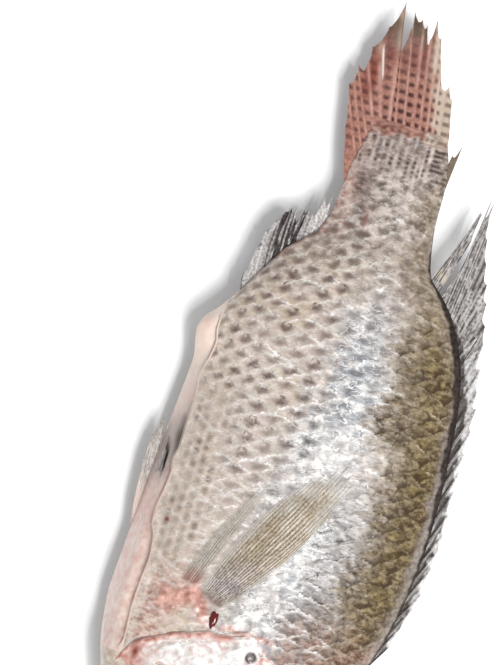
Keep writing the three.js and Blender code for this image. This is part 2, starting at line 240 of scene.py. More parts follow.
half_width = profile([
    (-14, 0.5), (-8, 2.6), (0, 5), (12, 6.6), (30, 8.3), (50, 11), (75, 14.5), (100, 17.5), (125, 19.6),
    (150, 20.7), (170, 20.9), (190, 19.5), (210, 16.8), (228, 13), (240, 9.4), (246, 6.2), (249, 3), (250, 0),
])
widest = profile([(-14, 3), (20, 3.5), (60, 2), (100, 0), (170, -1), (200, -3), (230, -8), (250, -11)])
fullness = profile([(-14, 1.8), (60, 1.85), (150, 1.95), (190, 2.1), (250, 2.2)])
middle = profile([
    (-55, 13.6), (-30, 14.3), (-10, 15), (12, 15.7), (40, 16.7), (80, 17.8), (120, 18.3), (175, 18.3),
    (212, 17.6), (252, 17),
])
flap_edge = profile([
    (60, -41), (70, -41.3), (75, -40.4), (80, -41), (87, -42.5), (95, -41.9), (105, -42.3), (112, -42.3),
    (116.5, -43.2), (121, -42.3), (127, -42.8), (134, -43.8), (139.5, -43.5), (143, -42), (151, -41),
    (158, -41.6), (168, -42), (180, -41.3), (190, -41.5),
])


def slit_open(s):
    return smooth(s, 64, 73) * smooth(s, 184, 175)


def flank(s, y):
    reach = np.where(y > widest(s), back(s) - widest(s), widest(s) - belly(s))
    share = np.abs(y - widest(s)) / np.maximum(reach, 0.1)
    n = fullness(s)
    return half_width(s) * np.maximum(0, 1 - share ** n) ** (1 / n)


def sag(s, y):
    return 1.4 * slit_open(s) * (1 - smooth(y, flap_edge(s), flap_edge(s) + 12))


def skin_point(s, angle):
    # A point of the skin in its section: 0 is the ridge of the back, and half a turn the ridge of the belly.
    c = np.cos(angle)
    power = 2 / fullness(s)
    reach = np.where(c > 0, back(s) - widest(s), widest(s) - belly(s))
    y = widest(s) + np.sign(c) * reach * np.abs(c) ** power
    z = half_width(s) * np.maximum(0, np.sin(angle)) ** power
    return y, z


def edge_angle(s):
    share = np.clip((widest(s) - flap_edge(s)) / (widest(s) - belly(s)), 0, 0.985)
    return np.pi - np.arccos(share ** (fullness(s) / 2))


def settle(s, y, z, floor=0.0):
    # The place in the frame of a point at this height over the middle of the body, never under the floor.
    # The soft lower edge of the belly hangs down towards the worktop.
    s, y, z = np.broadcast_arrays(s, y, z)
    droop = 6 * smooth(belly(s) + 6 - y, 0, 6.5) * smooth(s, 72, 90) * smooth(s, 186, 172)
    centre_s, centre_y = 98.4988, -0.7163
    return np.stack([s - centre_s, y - centre_y, np.maximum(floor, middle(s) + z - droop)], axis=-1)


def even_angles(s, start, end, count):
    # Angles that cut each section's skin in equal lengths, and the girth from the widest line, back positive.
    angles = []
    girths = []
    for i, at in enumerate(s):
        sweep = start[i] + (end[i] - start[i]) * np.linspace(0, 1, 500)
        y, z = skin_point(at, sweep)
        run = np.concatenate([[0], np.cumsum(np.hypot(np.diff(y), np.diff(z)))])
        wanted = np.linspace(0, run[-1], count)
        angles.append(np.interp(wanted, run, sweep))
        side = np.interp(np.pi / 2 if start[i] < 2 else 1.5 * np.pi, sweep, run)
        girths.append((side - wanted) if start[i] < 2 else (wanted - side))
    return np.array(angles), np.array(girths)


def wander(a, b, size, seed):
    # Smooth random waves of about this size over two coordinates, between -1 and 1.
    lattice = np.random.default_rng(seed).uniform(-1, 1, (64, 64))
    u = np.asarray(a) / size + 1000
    v = np.asarray(b) / size + 1000
    i = np.floor(u).astype(int)
    j = np.floor(v).astype(int)
    fu = (u - i) ** 2 * (3 - 2 * (u - i))
    fv = (v - j) ** 2 * (3 - 2 * (v - j))
    corner = [lattice[(i + di) % 64, (j + dj) % 64] for di in (0, 1) for dj in (0, 1)]
    near = corner[0] * (1 - fv) + corner[1] * fv
    far = corner[2] * (1 - fv) + corner[3] * fv
    return near * (1 - fu) + far * fu


scale_pitch = profile([
    (-14, 4.2), (20, 4.7), (45, 5.3), (80, 5.6), (110, 5.5), (150, 5.1), (184, 4.8), (250, 4.4),
])
row_spacing = profile([(-60, 4.4), (-42, 4.5), (-30, 5.4), (-20, 6.8), (20, 7.0), (40, 6.2), (60, 5.6)])
row_narrowing = profile([(-14, 0.74), (20, 0.80), (45, 0.90), (70, 1.0), (184, 1.0), (250, 0.95)])
station_table = np.linspace(-20, 256, 2761)
scale_run = np.cumsum(0.1 / scale_pitch(station_table))
scale_run -= np.interp(70.0, station_table, scale_run)
girth_table = np.linspace(-70, 70, 1401)
row_run = np.cumsum(0.1 / row_spacing(girth_table))
row_run -= np.interp(-1.0, girth_table, row_run)


def scale_cover(s, girth, seed):
    # The scale that lies on top at each point. The front scales lie on those behind them, like shingles.
    chance = np.random.default_rng(seed).random((4, 97, 61))
    narrow = row_narrowing(s)
    row = np.interp(girth, girth_table, row_run) / narrow
    spacing = row_spacing(girth) * narrow
    behind = np.full(s.shape, 20.0)
    ahead = np.full(s.shape, 20.0)
    front = np.full(s.shape, -99.0)
    found = {key: np.zeros(s.shape) for key in ("over", "at_s", "lift", "tone", "spot", "glint")}
    for dj in (-1, 0, 1, 2):
        j = np.floor(row) + dj
        over = (row - j) * spacing
        shift = 0.5 * np.mod(j, 2) - 0.15 * j
        run = np.interp(s, station_table, scale_run) - shift
        for di in (-1, 0, 1, 2):
            i = np.floor(run) + di
            luck = chance[:, i.astype(int) % 97, j.astype(int) % 61]
            centre = np.interp(i + shift + 0.12 * (luck[0] - 0.5), scale_run, station_table)
            pitch = scale_pitch(centre)
            share = np.clip(over / (1.25 * spacing), -1, 1)
            edge = centre + 0.55 * pitch - pitch * np.sqrt(1 - share ** 2)
            edge = edge + 0.3 * (luck[3] - 0.5) * share * pitch + 0.35 * wander(s, girth, 1.5, 6)
            distance = np.where(np.abs(share) < 1, s - edge, -99)
            forward = centre - 0.02 * np.abs(share)
            top = (distance >= 0) & (forward > front)
            front = np.where(top, forward, front)
            behind = np.where(top, np.minimum(distance, 20), behind)
            for key, value in (
                ("over", over), ("at_s", centre), ("lift", luck[1]),
                ("tone", luck[2]), ("spot", luck[3]), ("glint", luck[0]),
            ):
                found[key] = np.where(top, value, found[key])
            waiting = (distance < 0) & (distance > -90)
            ahead = np.where(waiting & (-distance < ahead), -distance, ahead)
    return found | {"behind": behind, "ahead": ahead}


def gill_fold(s, y, centre, reach, power):
    # The fold of skin that runs down behind the gill opening.
    line = np.interp(y, [-36, -30, -23.6, -20, -15], [162.5, 162, 157.5, 161.5, 167])
    return hump(s - line, centre, reach, power) * smooth(y, -37, -33) * smooth(y, -15, -19)


def crumple(s, y):
    return patch(s, y, 163.5, -5, 4.5, 7, 1.5)


upper_line = profile([(-14, 16), (8, 14), (20, 11.5), (35, 10.5), (50, 17), (62, 18), (80, 18.5), (100, 24),
                      (120, 24), (150, 23), (175, 20)])
olive_line = profile([(40, 6), (62, 9), (80, 8.5), (110, 8), (150, 8), (180, 7)])
ridge_line = profile([(-14, -1.4), (12, -1.2), (24, 0.2), (36, 0.8), (45, 2.0), (63, 2.2), (90, 1.9), (113, 1.2),
                      (128, 0.8), (165, 0.7)])
silver_centre = profile([(30, 4), (60, 8), (80, 9), (100, 5), (130, 6), (160, 2), (184, -4)])
silver_reach = profile([(30, 6), (60, 10), (80, 12), (100, 14), (130, 16), (160, 14), (184, 20)])
bright_line = profile([(84, 8), (96, 4), (110, 0), (124, -5), (140, -3), (156, -1), (170, -8)])
bright_reach = profile([(84, 6), (100, 9.5), (118, 9), (130, 6), (150, 6.5), (160, 5.5), (170, 8)])
spot_height = profile([(-14, 1.2), (20, 1.8), (45, 2.5), (100, 2.9), (184, 2.2)])
web_spot_pitch = 3.32
web_spot_columns = [-18.2, -15.1, -13.5, -12.3, -9.3, -6.9, -4.5, -1.8, 1.1, 3.9, 6.3, 8.1, 9.7, 12.3]


def skin_marks(s, y, scales):
    # How much of each colour the skin has at each point, from the fish's own bands and its scales, with painted
    # shadows and painted glints laid on them.
    over, tone, ahead = scales["over"], scales["tone"], scales["ahead"]
    s_scale = 0.6 * s + 0.4 * scales["at_s"]
    y_scale = y - 0.4 * over
    ragged = 1.6 * wander(s, y, 3.5, 11) + 1.2 * wander(s, y, 1.4, 12) + 2.0 * (tone - 0.5)
    under_back = back(s) - y
    on_head = smooth(s, 182, 200)

    # The bands from the ridge of the back down to the silver flank.
    upper = y_scale + 1.4 * ragged + 3.0 * wander(s, y, 11, 36)
    upper = smooth(upper, upper_line(s) - 6, upper_line(s) + 7)
    upper = upper * (0.7 + 0.3 * smooth(s, 50, 64)) * (1 - 0.3 * smooth(s, 146, 158))
    olive = hump(back(s_scale) - y_scale + 0.6 * ragged, olive_line(s), 4.6)
    olive = np.clip(olive * smooth(s, 34, 62) * (0.72 + 0.5 * wander(s, y, 6.5, 37)), 0, 1)
    mauve = smooth(under_back + 0.5 * ragged, 5.2, 2.8) * smooth(s, 60, 95) * (1 - 0.6 * smooth(s, 126, 142))
    ridge = smooth(under_back + 0.7 * wander(s, y, 2.2, 13), ridge_line(s) + 1.0, ridge_line(s) - 0.1)
    ridge = ridge * smooth(s, 186, 178)
    silver = hump(y_scale + ragged, silver_centre(s), silver_reach(s), 2.6) * smooth(s, 22, 70)
    bright = hump(y + 1.3 * ragged, bright_line(s), bright_reach(s), 2.2) * smooth(s, 84, 98)
    bright = np.maximum(bright * (0.72 + 0.4 * wander(s, y, 7, 25)) * (1 - on_head), crumple(s, y))
    dull = 0.8 * smooth(y + ragged, -2, 9) * smooth(s, 144, 154)
    dull = np.maximum(smooth(y + ragged, 7, 14) * smooth(s, 94, 134), dull) * (1 - 0.7 * on_head)

    # The pink, cream and pale places of the belly, the tail's root and the gill opening.
    warm = smooth(wander(s, y, 9, 26) + 0.5 * wander(s, y, 4, 27), -0.15, 0.55) * smooth(y, 14, 2)
    warm = warm + 0.4 * smooth(y, -14, -26) * smooth(s, 66, 54)
    pale = hump(y + 0.5 * ragged, -24, 13, 2.6) * smooth(s, 56, 74) * smooth(s, 166, 146)
    ruddy = (0.75 + 0.35 * wander(s, y, 3, 28)) * smooth(s, 148, 166) * smooth(y, 3, 12)
    ruddy = ruddy * (1 - 0.85 * on_head)
    ruddy_root = 0.5 * smooth(s, 8, -2) * smooth(y, -1, -7) * (0.6 + 0.6 * wander(s, y, 3, 38))
    blush = smooth(s + 0.25 * y, 132, 158) * smooth(y, -20, -35) * (1 - 0.85 * on_head)
    blush = blush * (1 - 0.8 * patch(s, y, 169, -27, 5, 8, 1.5))
    blush = np.maximum(blush, hump(y - belly(s), 1.2, 1.3) * smooth(s, 22, 27) * smooth(s, 44, 36))
    blush = np.maximum(blush, 0.9 * smooth(y, -7.5, -13) * smooth(s, 40, 8))
    belly_side = smooth(y, -24, -34)
    fold = gill_fold(s, y, -0.4, 4.2, 2.5)
    fold_edge = hump(s - 0.8 * wander(y, s, 3, 55), 165.8, 1.3) * smooth(y, -15, -10) * smooth(y, 9, 4)
    dimple = smooth(wander(s, y, 1.25, 33), 0.45, 0.7) * smooth(s, 146, 156) * smooth(y, -33, -36)
    dusky = 0.55 * smooth(s - 2 * wander(s, y, 4, 39), 10, -6) * smooth(y, -9, -5) * smooth(y, 13, 8)
    dusky = np.maximum(patch(s - 0.6 * (y + 9), y, 8, -8.5, 9, 3.6), dusky)
    specks = smooth(wander(s, y, 1.3, 16), 0.62, 0.86) * smooth(s, 152, 160)
    specks = specks * smooth(y, 12, 17) * smooth(y, 31, 26)

    # One dark spot on each scale of the flank, and closer rows of small ones along the belly.
    mid_scale = 0.5 * (scales["behind"] - np.minimum(ahead, 6)) - 0.12 * over
    tall = spot_height(s) * (0.65 + 0.35 * smooth(y, -40, -22))
    spot_s = mid_scale + 0.35 * wander(s, y, 1.8, 17)
    spot_zone = smooth(y, 7, -4) * smooth(y, -47, -38) * (0.35 + 0.65 * smooth(s, 142, 96))
    spot_zone = np.maximum(spot_zone, 0.55 * smooth(s, 74, 52))
    spot_zone = np.maximum(spot_zone, 0.8 * hump(y, 8, 8, 4) * smooth(s, 98, 80) * smooth(s, 24, 36))
    spot = patch(spot_s, over / tall + 0.2 * wander(s, y, 1.6, 18), 0, 0, 1.3, 1, 1.4) * spot_zone
    spot = spot * (0.75 + 0.5 * scales["spot"]) * smooth(s, 8, 26) * (1 - on_head)
    belly_row = np.interp(y, [-42.4, -39.6, -36.6, -33.4, -30.0, -26.4], np.arange(6))
    belly_run = s / 4.0 + 0.5 * np.mod(np.round(belly_row), 2) + 0.2 * wander(s, y, 4, 58)
    belly_rows = smooth(s, 84, 96) * smooth(y, -25, -29)
    belly_dot = (2.1 * off_whole(belly_run)) ** 2 + (2.3 * off_whole(belly_row)) ** 2
    belly_dot = np.exp(-1.5 * belly_dot ** 1.3) * belly_rows * smooth(s, 158, 138) * smooth(y, -42, -40)
    spot = np.maximum(spot * (1 - 0.6 * belly_rows), belly_dot * (0.68 + 0.4 * wander(s, y, 5, 59)))

    # The dark corners of the scales, partly their own dark pigment and partly painted shadow behind each raised
    # rear edge, and the pale rear edges, partly painted highlight.
    # Painted shadow: the shade mark darkens each scale just behind the rear edge that covers it, over the scales'
    # dark pigment.
    shade = np.exp(-ahead / 2.0) * hump(over, 0, 2.6) + 0.5 * np.exp(-ahead / 0.9)
    shade = shade * np.maximum(upper, olive) * (0.4 + 1.5 * tone) * smooth(s, 40, 62)
    shade = shade * (0.75 + 0.7 * wander(s, y, 1.6, 29)) * (1 + 0.5 * hump(y, 38, 5) * smooth(s, 84, 96))
    shade = np.clip(shade, 0, 1) * (1 - ridge) * (1 - 0.85 * mauve) * (1 - 0.35 * smooth(s, 150, 175))
    # The rim is the scales' pale rear margin with painted glints on it. In the upper band it stays only on the
    # side of each edge that faces the light.
    rim = smooth(scales["glint"] + 0.8 * wander(s, y, 2.6, 15), 0.2, 1.0) * (0.3 + 0.7 * smooth(s, 24, 60))
    rim = rim * (1 - ridge) * (0.35 + 0.65 * smooth(y, -36, -18)) * (1 - 0.6 * mauve)
    rim = rim * (1 - 0.55 * upper * smooth(wander(s, y, 3.2, 30), -0.4, 0.3))
    rim = rim * (1 - 0.8 * upper * smooth(over, 1.2, -0.4)) * (1 - 0.6 * upper * smooth(s, 95, 112))
    hooks = np.maximum(upper * smooth(s, 60, 84), 0.9 * dull * smooth(s, 132, 150) * (1 - on_head))

    # The tail fin's web and rays where they grow out of the root.
    web = smooth(-s + 1.4 * wander(y, s, 2.2, 19) + 0.12 * np.abs(y - 3), 10.0, 11.6)
    column = np.interp(y, web_spot_columns, np.arange(1, 15))
    off_column = np.abs(off_whole(column)) * 2
    web_row = (s + 11.5 + 0.25 * np.sin(2.7 * np.round(column))) / web_spot_pitch
    web_dot = patch(off_whole(web_row) * web_spot_pitch, off_column, 0, 0, 0.8, 0.62, 1.2)
    dash_row = s / 1.7 + 0.5 * np.mod(np.round(column), 2)
    root_dash = patch(off_whole(dash_row) * 1.7, off_column, 0, 0, 0.66, 0.55, 1.4) * smooth(s, 9, -1)
    root_dash = root_dash * smooth(wander(s, y, 2.0, 23), -0.5, 0.3) * (1 - web)
    dry = np.maximum(ridge, 0.85 * smooth(s, 140, 152) * smooth(y, 3, 10) * smooth(y, 27, 20))
    return dict(
        upper=upper, olive=olive, mauve=mauve, ridge=ridge, silver=silver, bright=bright, dull=dull,
        warm=warm, pale=pale, blush=blush, spot=spot, shade=shade, rim=rim, dusky=dusky, dimple=dimple,
        dry=dry, web=web, web_dot=web_dot * web, root_dash=root_dash, behind=scales["behind"],
        ruddy=np.maximum(ruddy, ruddy_root), fold=np.maximum(fold, 0.8 * fold_edge),
        specks=np.maximum(specks, patch(s, y, 136.5, -39.4, 0.95, 0.95)),
        tailward=smooth(s + 2 * wander(s, y, 6, 14), 58, 18),
        cream=smooth(flap_edge(s) + 3.2 - y, -1.0, 1.6) * smooth(s, 56, 70),
        streak=patch(s, y, 20.5, -4.5, 3.4, 0.7), hooks=hooks * (1 - mauve) * (1 - ridge),
        lower=smooth(y, 2, -8) * smooth(s, 34, 60) * (1 - blush),
        belly_side=belly_side * smooth(s, 56, 80) * (1 - blush),
        # Where the painted wet glints go: the silver flank, less where it is dull, and a little on the pale
        # belly.
        glints=silver * (1 - 0.85 * dull) + 0.35 * pale * (1 - silver),
        web_pale=web * smooth(y + 0.6 * wander(s, y, 1.6, 34), 6.0, 8.6),
        root_pale=0.15 * smooth(-s + 1.5 * ragged, -12, 0),
        ray_ridge=hump(off_column, 1, 0.4) * smooth(s, 7, -2) * smooth(wander(s, y, 1.5, 24), -0.4, 0.4),
    )


edge_height = profile([(-14, 0.05), (0, 0.14), (15, 0.2), (45, 0.3), (120, 0.34), (184, 0.26)])


def scale_relief(s, y, scales):
    # The rear edge of each scale stands proud of the scale behind it.
    behind = scales["behind"]
    strength = edge_height(s) * (0.45 + 0.55 * smooth(back(s) - y, 0.5, 5))
    strength = strength * (0.5 + 0.5 * smooth(y - flap_edge(s), 1, 7))
    slope = np.clip(1 - behind / (1.5 * scale_pitch(s)), 0, 1)
    plate = 0.16 + (0.1 + 0.74 * slope ** 2) * smooth(behind, -0.05, 0.7)
    raised = strength * plate * (0.6 + 0.8 * scales["lift"])
    tipped = 0.05 * strength * (scales["tone"] - 0.5) * scales["over"]
    wrinkled = 0.07 * wander(s, y, 1.7, 21) + 0.12 * wander(s, y, 5.0, 22)
    wrinkled = wrinkled * (0.5 + 0.9 * hump(y, 6, 16) * smooth(s, 70, 96))
    folds = gill_fold(s, y, 0.8, 3.2, 4) * (0.5 + 0.55 * wander(s + 0.5 * y, y - 0.4 * s, 1.7, 35))
    crumpled = 0.8 * crumple(s, y) * (1 - 2 * np.abs(wander(s + 0.4 * y, 0.5 * y, 2.2, 56)))
    return raised + tipped + wrinkled + 0.9 * folds + crumpled


def pushed_out(points, height):
    # Each point of a grid moves out along the skin by its height.
    out = np.cross(np.gradient(points, axis=1), np.gradient(points, axis=0))
    size = np.linalg.norm(out, axis=-1, keepdims=True)
    return points + out / np.maximum(size, 1e-9) * height[..., None]


def above_floor(points):
    points[..., 2] = np.maximum(points[..., 2], 0.05)
    return points


def grid_faces(rows, columns, first=0, ring=False):
    r, c = np.meshgrid(np.arange(rows - 1), np.arange(columns if ring else columns - 1), indexing="ij")
    a = first + r * columns + c
    b = first + r * columns + (c + 1) % columns
    return np.stack([a, a + columns, b + columns, b], axis=-1).reshape(-1, 4)


def make_piece(name, points, faces, finish, marks=None):
    mesh = bpy.data.meshes.new(name)
    metres = np.asarray(points).reshape(-1, 3) / 1000
    mesh.from_pydata(metres.tolist(), [], [list(map(int, f)) for f in faces])
    for mark_name, values in (marks or {}).items():
        layer = mesh.attributes.new(mark_name, "FLOAT", "POINT")
        layer.data.foreach_set("value", np.asarray(values, np.float32).ravel())
    mesh.materials.append(bpy.data.materials[finish])
    mesh.shade_smooth()
    piece = bpy.data.objects.new(name, mesh)
    bpy.context.scene.collection.objects.link(piece)
    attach(piece, "root")
    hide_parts("fish")


def mark(tree, name):
    node = tree.nodes.new("ShaderNodeAttribute")
    node.attribute_name = name
    return node.outputs["Fac"]


def layered(tree, colour, mottling, layers):
    # Thin colours laid over one another, in order. Each row has its mark or share, its strength,
    # and one shade, or a dark and a light one for a mottled colour.
    for share, strength, dark, *light in layers:
        if isinstance(share, str):
            share = mark(tree, share)
        if strength < 1:
            share = times(tree, share, strength)
        colour = tint(tree, share, colour, tint(tree, mottling, dark, light[0]) if light else dark)
    return colour


def thin_lines(tree, waves, level, width):
    # Fine wavy lines, where the waves pass this level.
    away = combine(tree, "ABSOLUTE", combine(tree, "SUBTRACT", waves, level))
    return spread(tree, away, 0.0, width, 1.0, 0.0)


skin = new_finish("wet_scaly_skin")
mottle = grain(skin, 1.25, 3, (1.0, 2.1, 1.6))
fine_mottle = grain(skin, 0.6, 2, (1.0, 1.7, 1.4))
clear_mottle = spread(skin, mottle, 0.38, 0.64)
coarse_mottle = grain(skin, 3.6, 3)
coarse_clear = spread(skin, coarse_mottle, 0.36, 0.64)
upper_share = mark(skin, "upper")
behind_edge = mark(skin, "behind")
dusk = times(skin, spread(skin, coarse_mottle, 0.5, 0.62), mark(skin, "lower"))
silver_grey = tint(skin, clear_mottle, (152, 153, 157), (196, 199, 204))
silver_grey = tint(skin, spread(skin, coarse_mottle, 0.48, 0.68), silver_grey, (218, 214, 211))
bright_white = tint(skin, spread(skin, coarse_mottle, 0.4, 0.62), (214, 206, 200), (246, 241, 235))
tail_grey = tint(skin, spread(skin, coarse_mottle, 0.4, 0.6), (116, 100, 92), (190, 176, 166))
tail_grey = tint(skin, spread(skin, mottle, 0.56, 0.68), tail_grey, (208, 200, 196))
soft_edge = spread(skin, behind_edge, 0.0, 1.7, 0.38, 0.0)
soft_edge = times(skin, soft_edge, spread(skin, upper_share, 0.0, 1.0, 1.0, 0.45))
spot_share = times(skin, mark(skin, "spot"), spread(skin, mottle, 0.3, 0.7, 0.6, 1.05))
hook = thin_lines(skin, grain(skin, 1.9, 1.5, (1.0, 1.5, 1.3)), 0.5, 0.055)
hook = times(skin, hook, spread(skin, grain(skin, 3.2, 1), 0.5, 0.6), mark(skin, "hooks"))
pore = times(skin, spread(skin, grain(skin, 1.5, 1.5), 0.60, 0.68), upper_share)
# Thin pale lines along the scales' rear edges, partly their pale margin and partly painted glints, broken up by
# fine noise.
pale_edge_and_glint = times(skin, spread(skin, behind_edge, 0.0, 1.25, 0.95, 0.0), mark(skin, "rim"))
pale_edge_and_glint = times(skin, pale_edge_and_glint, spread(skin, grain(skin, 1.1, 2), 0.26, 0.56, 0.0, 1.0))
# Painted wet glints: thin white wavy lines where the waves cross one level, and painted dark shadow lines beside
# them at another. The waves also bump the silver flank.
wavy = grain(skin, 1.5, 1.5, (1.5, 2.8, 2.5))
wavy_zone = times(skin, mark(skin, "glints"), spread(skin, grain(skin, 3.4, 2), 0.46, 0.56))
wavy_glint = times(skin, thin_lines(skin, wavy, 0.5, 0.03), wavy_zone)
wavy_glint_shadow = times(skin, thin_lines(skin, wavy, 0.56, 0.03), wavy_zone)
cheek_tan = tint(skin, coarse_clear, (166, 148, 118), (214, 204, 190))
skin_colour = tint(skin, clear_mottle, (186, 170, 158), (222, 208, 196))
skin_colour = layered(skin, skin_colour, clear_mottle, [
    ("warm", 1, (196, 178, 158), (226, 208, 188)),
    ("pale", 0.6, (208, 194, 182), (238, 228, 218)),
    (dusk, 0.6, (186, 164, 160)),
    ("belly_side", 0.5, (230, 210, 192)),
    ("silver", 1, silver_grey),
    ("bright", 1, bright_white),
    ("dull", 0.92, (76, 70, 72), (150, 141, 136)),
    ("tailward", 1, tail_grey),
    (upper_share, 1, (92, 76, 50), (160, 142, 117)),
    ("olive", 1, (88, 70, 22), (156, 134, 76)),
    ("mauve", 1, (106, 94, 88), (150, 139, 131)),
    ("blush", 1, (186, 136, 120), (242, 212, 196)),
    ("ruddy", 1, (110, 74, 61), (180, 145, 127)),
    ("cream", 1, (216, 196, 178), (238, 221, 207)),
    (soft_edge, 1, tint(skin, upper_share, (236, 228, 221), (188, 172, 144))),
    (spot_share, 1, tint(skin, mark(skin, "silver"), (116, 97, 89), (90, 87, 92))),
    # Painted shadow behind the scales' rear edges, over their own dark pigment.
    ("shade", 1, (68, 49, 22)),
    (hook, 0.9, (66, 46, 20)),
    (pore, 0.55, (78, 58, 34)),
    # Painted glints and pale margins along the scales' rear edges.
    (pale_edge_and_glint, 1, tint(skin, upper_share, (252, 250, 248, 0.78), (206, 190, 160))),
    ("dusky", 1, (104, 84, 78), (160, 138, 130)),
    ("streak", 0.6, (150, 84, 74)),
    # Painted shadow lines beside the painted glints, then the painted glints themselves.
    (wavy_glint_shadow, 0.65, (84, 84, 88)),
    (wavy_glint, 1, (246, 245, 244, 0.74)),
    ("ridge", 1, (20, 12, 10), (66, 52, 46)),
    ("specks", 1, (120, 44, 34)),
    ("fold", 1, tint(skin, coarse_clear, (172, 104, 90), (226, 178, 164))),
    ("dimple", 0.45, (150, 96, 80)),
    ("root_pale", 1, (184, 158, 148), (226, 208, 200)),
    ("root_dash", 1, (70, 52, 48)),
    ("ray_ridge", 0.6, (226, 214, 206)),
    ("web", 1, (142, 96, 84), (192, 144, 130)),
    ("web_pale", 1, (172, 152, 138), (212, 196, 182)),
    ("web_dot", 0.65, (84, 30, 22)),
    ("crown", 1, (84, 72, 50), (138, 122, 96)),
    ("cheek", 1, cheek_tan, (224, 218, 210)),
    ("snout", 1, (112, 98, 84), (164, 148, 130)),
    ("jaw", 1, (206, 182, 166), (236, 218, 204)),
    ("groove", 1, (120, 96, 80)),
    # Painted shade in the nostril's opening.
    ("nostril", 1, (34, 26, 22)),
])
fine_contrast = spread(skin, fine_mottle, 0.3, 0.7, 0.9, 1.08)
skin_colour = tint(skin, 1.0, skin_colour, fine_contrast, "MULTIPLY")
broad_contrast = spread(skin, coarse_mottle, 0.34, 0.66, 0.84, 1.1)
skin_colour = tint(skin, 1.0, skin_colour, broad_contrast, "MULTIPLY")
skin_normal = bumped(skin, times(skin, wavy, mark(skin, "silver")), 0.9)
skin_normal = bumped(skin, fine_mottle, 0.06, bumped(skin, mottle, 0.2, skin_normal))
dry_share = mark(skin, "dry")
skin_roughness = spread(skin, mottle, 0.3, 0.7, 0.28, 0.5)
skin_roughness = combine(skin, "ADD", skin_roughness, times(skin, dry_share, 0.4), True)
skin_wet = spread(skin, dry_share, 0.0, 1.0, 0.5, 0.04)
coat(skin, skin_colour, skin_roughness, skin_normal, wet=skin_wet, wet_roughness=0.14)

# The trunk's rows have twice the columns of the tail root's, and three-sided faces join the two.
trunk_end = 184.0
row_step = 0.46
right_columns = 229
tail_root_columns = 115
stitch_station = 44.0
tail_rows = np.arange(tail_root, stitch_station - 0.1, row_step)
trunk_rows = np.linspace(stitch_station, trunk_end, int((trunk_end - stitch_station) / row_step) + 1)


def right_skin(rows, columns):
    end = np.pi + (edge_angle(rows) - np.pi) * smooth(rows, 56, 62)
    angle, girth = even_angles(rows, np.zeros(len(rows)), end, columns)
    s = np.repeat(rows[:, None], columns, axis=1)
    y, z = skin_point(s, angle)
    scales = scale_cover(s, girth, 3)
    column = np.arange(columns)
    height = scale_relief(s, y, scales) * smooth(column / columns, 0, 0.02)
    height = height * smooth(1 - column / (columns - 1), 0, 0.02)
    return pushed_out(settle(s, y, z - sag(s, y)), height), skin_marks(s, y, scales)


tail_points, tail_marks = right_skin(np.append(tail_rows, stitch_station), tail_root_columns)
trunk_points, trunk_marks = right_skin(trunk_rows, right_columns)
tail_count = len(tail_rows) * tail_root_columns
right_faces = list(grid_faces(len(tail_rows), tail_root_columns))
right_faces += list(grid_faces(len(trunk_rows), right_columns, tail_count))
for c in range(tail_root_columns - 1):
    a = tail_count - tail_root_columns + c
    b = tail_count + 2 * c
    right_faces += [(a, b, b + 1), (a, b + 1, a + 1), (a + 1, b + 1, b + 2)]
right_points = np.concatenate([tail_points[:-1].reshape(-1, 3), trunk_points.reshape(-1, 3)])
right_marks = {
    key: np.concatenate([tail_marks[key][:-1].ravel(), trunk_marks[key].ravel()]) for key in tail_marks
}
make_piece("skin_right", right_points, right_faces, "wet_scaly_skin", right_marks)

left_rows = np.arange(tail_root, trunk_end + 0.1, 0.75)
left_columns = 121
half_turn = np.full(len(left_rows), np.pi)
left_angle, left_girth = even_angles(left_rows, half_turn, 2 * half_turn, left_columns)
left_s = np.repeat(left_rows[:, None], left_columns, axis=1)
left_y, left_z = skin_point(left_s, 2 * np.pi - left_angle)
left_scales = scale_cover(left_s, left_girth, 5)
left_height = scale_relief(left_s, left_y, left_scales)
left_height = left_height * smooth(np.sin(np.linspace(0, np.pi, left_columns)), 0, 0.06)
left_points = above_floor(pushed_out(settle(left_s, left_y, -left_z, -5), left_height))
left_marks = skin_marks(left_s, left_y, left_scales)
make_piece("skin_left", left_points, grid_faces(*left_s.shape), "wet_scaly_skin", left_marks)


# The two belly flaps at the long slit: the cut edge of the upper one, the dark gap, and the lower one.
# They are bare pink flesh under a thin pale skin, and the lower flap rolls out as a smooth fold.
flap_start = 56.0
flap_rows = np.linspace(flap_start, trunk_end, 184)
flap_lip = profile([
    (60, 1.0), (97, 1.1), (104, 2.2), (118, 2.2), (127, 1.3), (138, 1.8), (150, 1.8), (160, 1.1),
])
flap_gap = profile([
    (60, 0.15), (97, 0.15), (104, 1.0), (118, 0.8), (127, 0.2), (138, 0.9), (150, 0.9), (160, 0.25),
])
slit_depth = 9.0


def flap_section(s):
    open_share = slit_open(s)
    start = edge_angle(s)
    lip_y, lip_z = skin_point(s, start)
    lip_z = lip_z - sag(s, lip_y)
    lip = flap_lip(s)
    under = lip_z - lip
    low = under - flap_gap(s)
    opened = np.array([
        (lip_y, lip_z), (lip_y - 0.45, lip_z - 0.17 * lip), (lip_y - 0.6, lip_z - 0.43 * lip),
        (lip_y - 0.3, lip_z - 0.77 * lip),
        (lip_y + 0.4, under), (lip_y + 3, under - 0.2), (lip_y + slit_depth * open_share, under - 0.4),
        (lip_y + 3, low + 0.1), (lip_y + 0.6, low + 0.05),
    ])
    roll = np.cos(np.linspace(0, np.pi / 2, 30)[1:])
    roll_y = belly(s) + (lip_y + 0.6 - belly(s)) * roll ** 0.9
    opened = np.concatenate([opened, np.stack([roll_y, (low + 0.05) * roll ** 0.55], axis=1)])
    closed = np.stack(skin_point(s, np.linspace(start, np.pi, len(opened))), axis=1)
    return closed + (opened - closed) * open_share


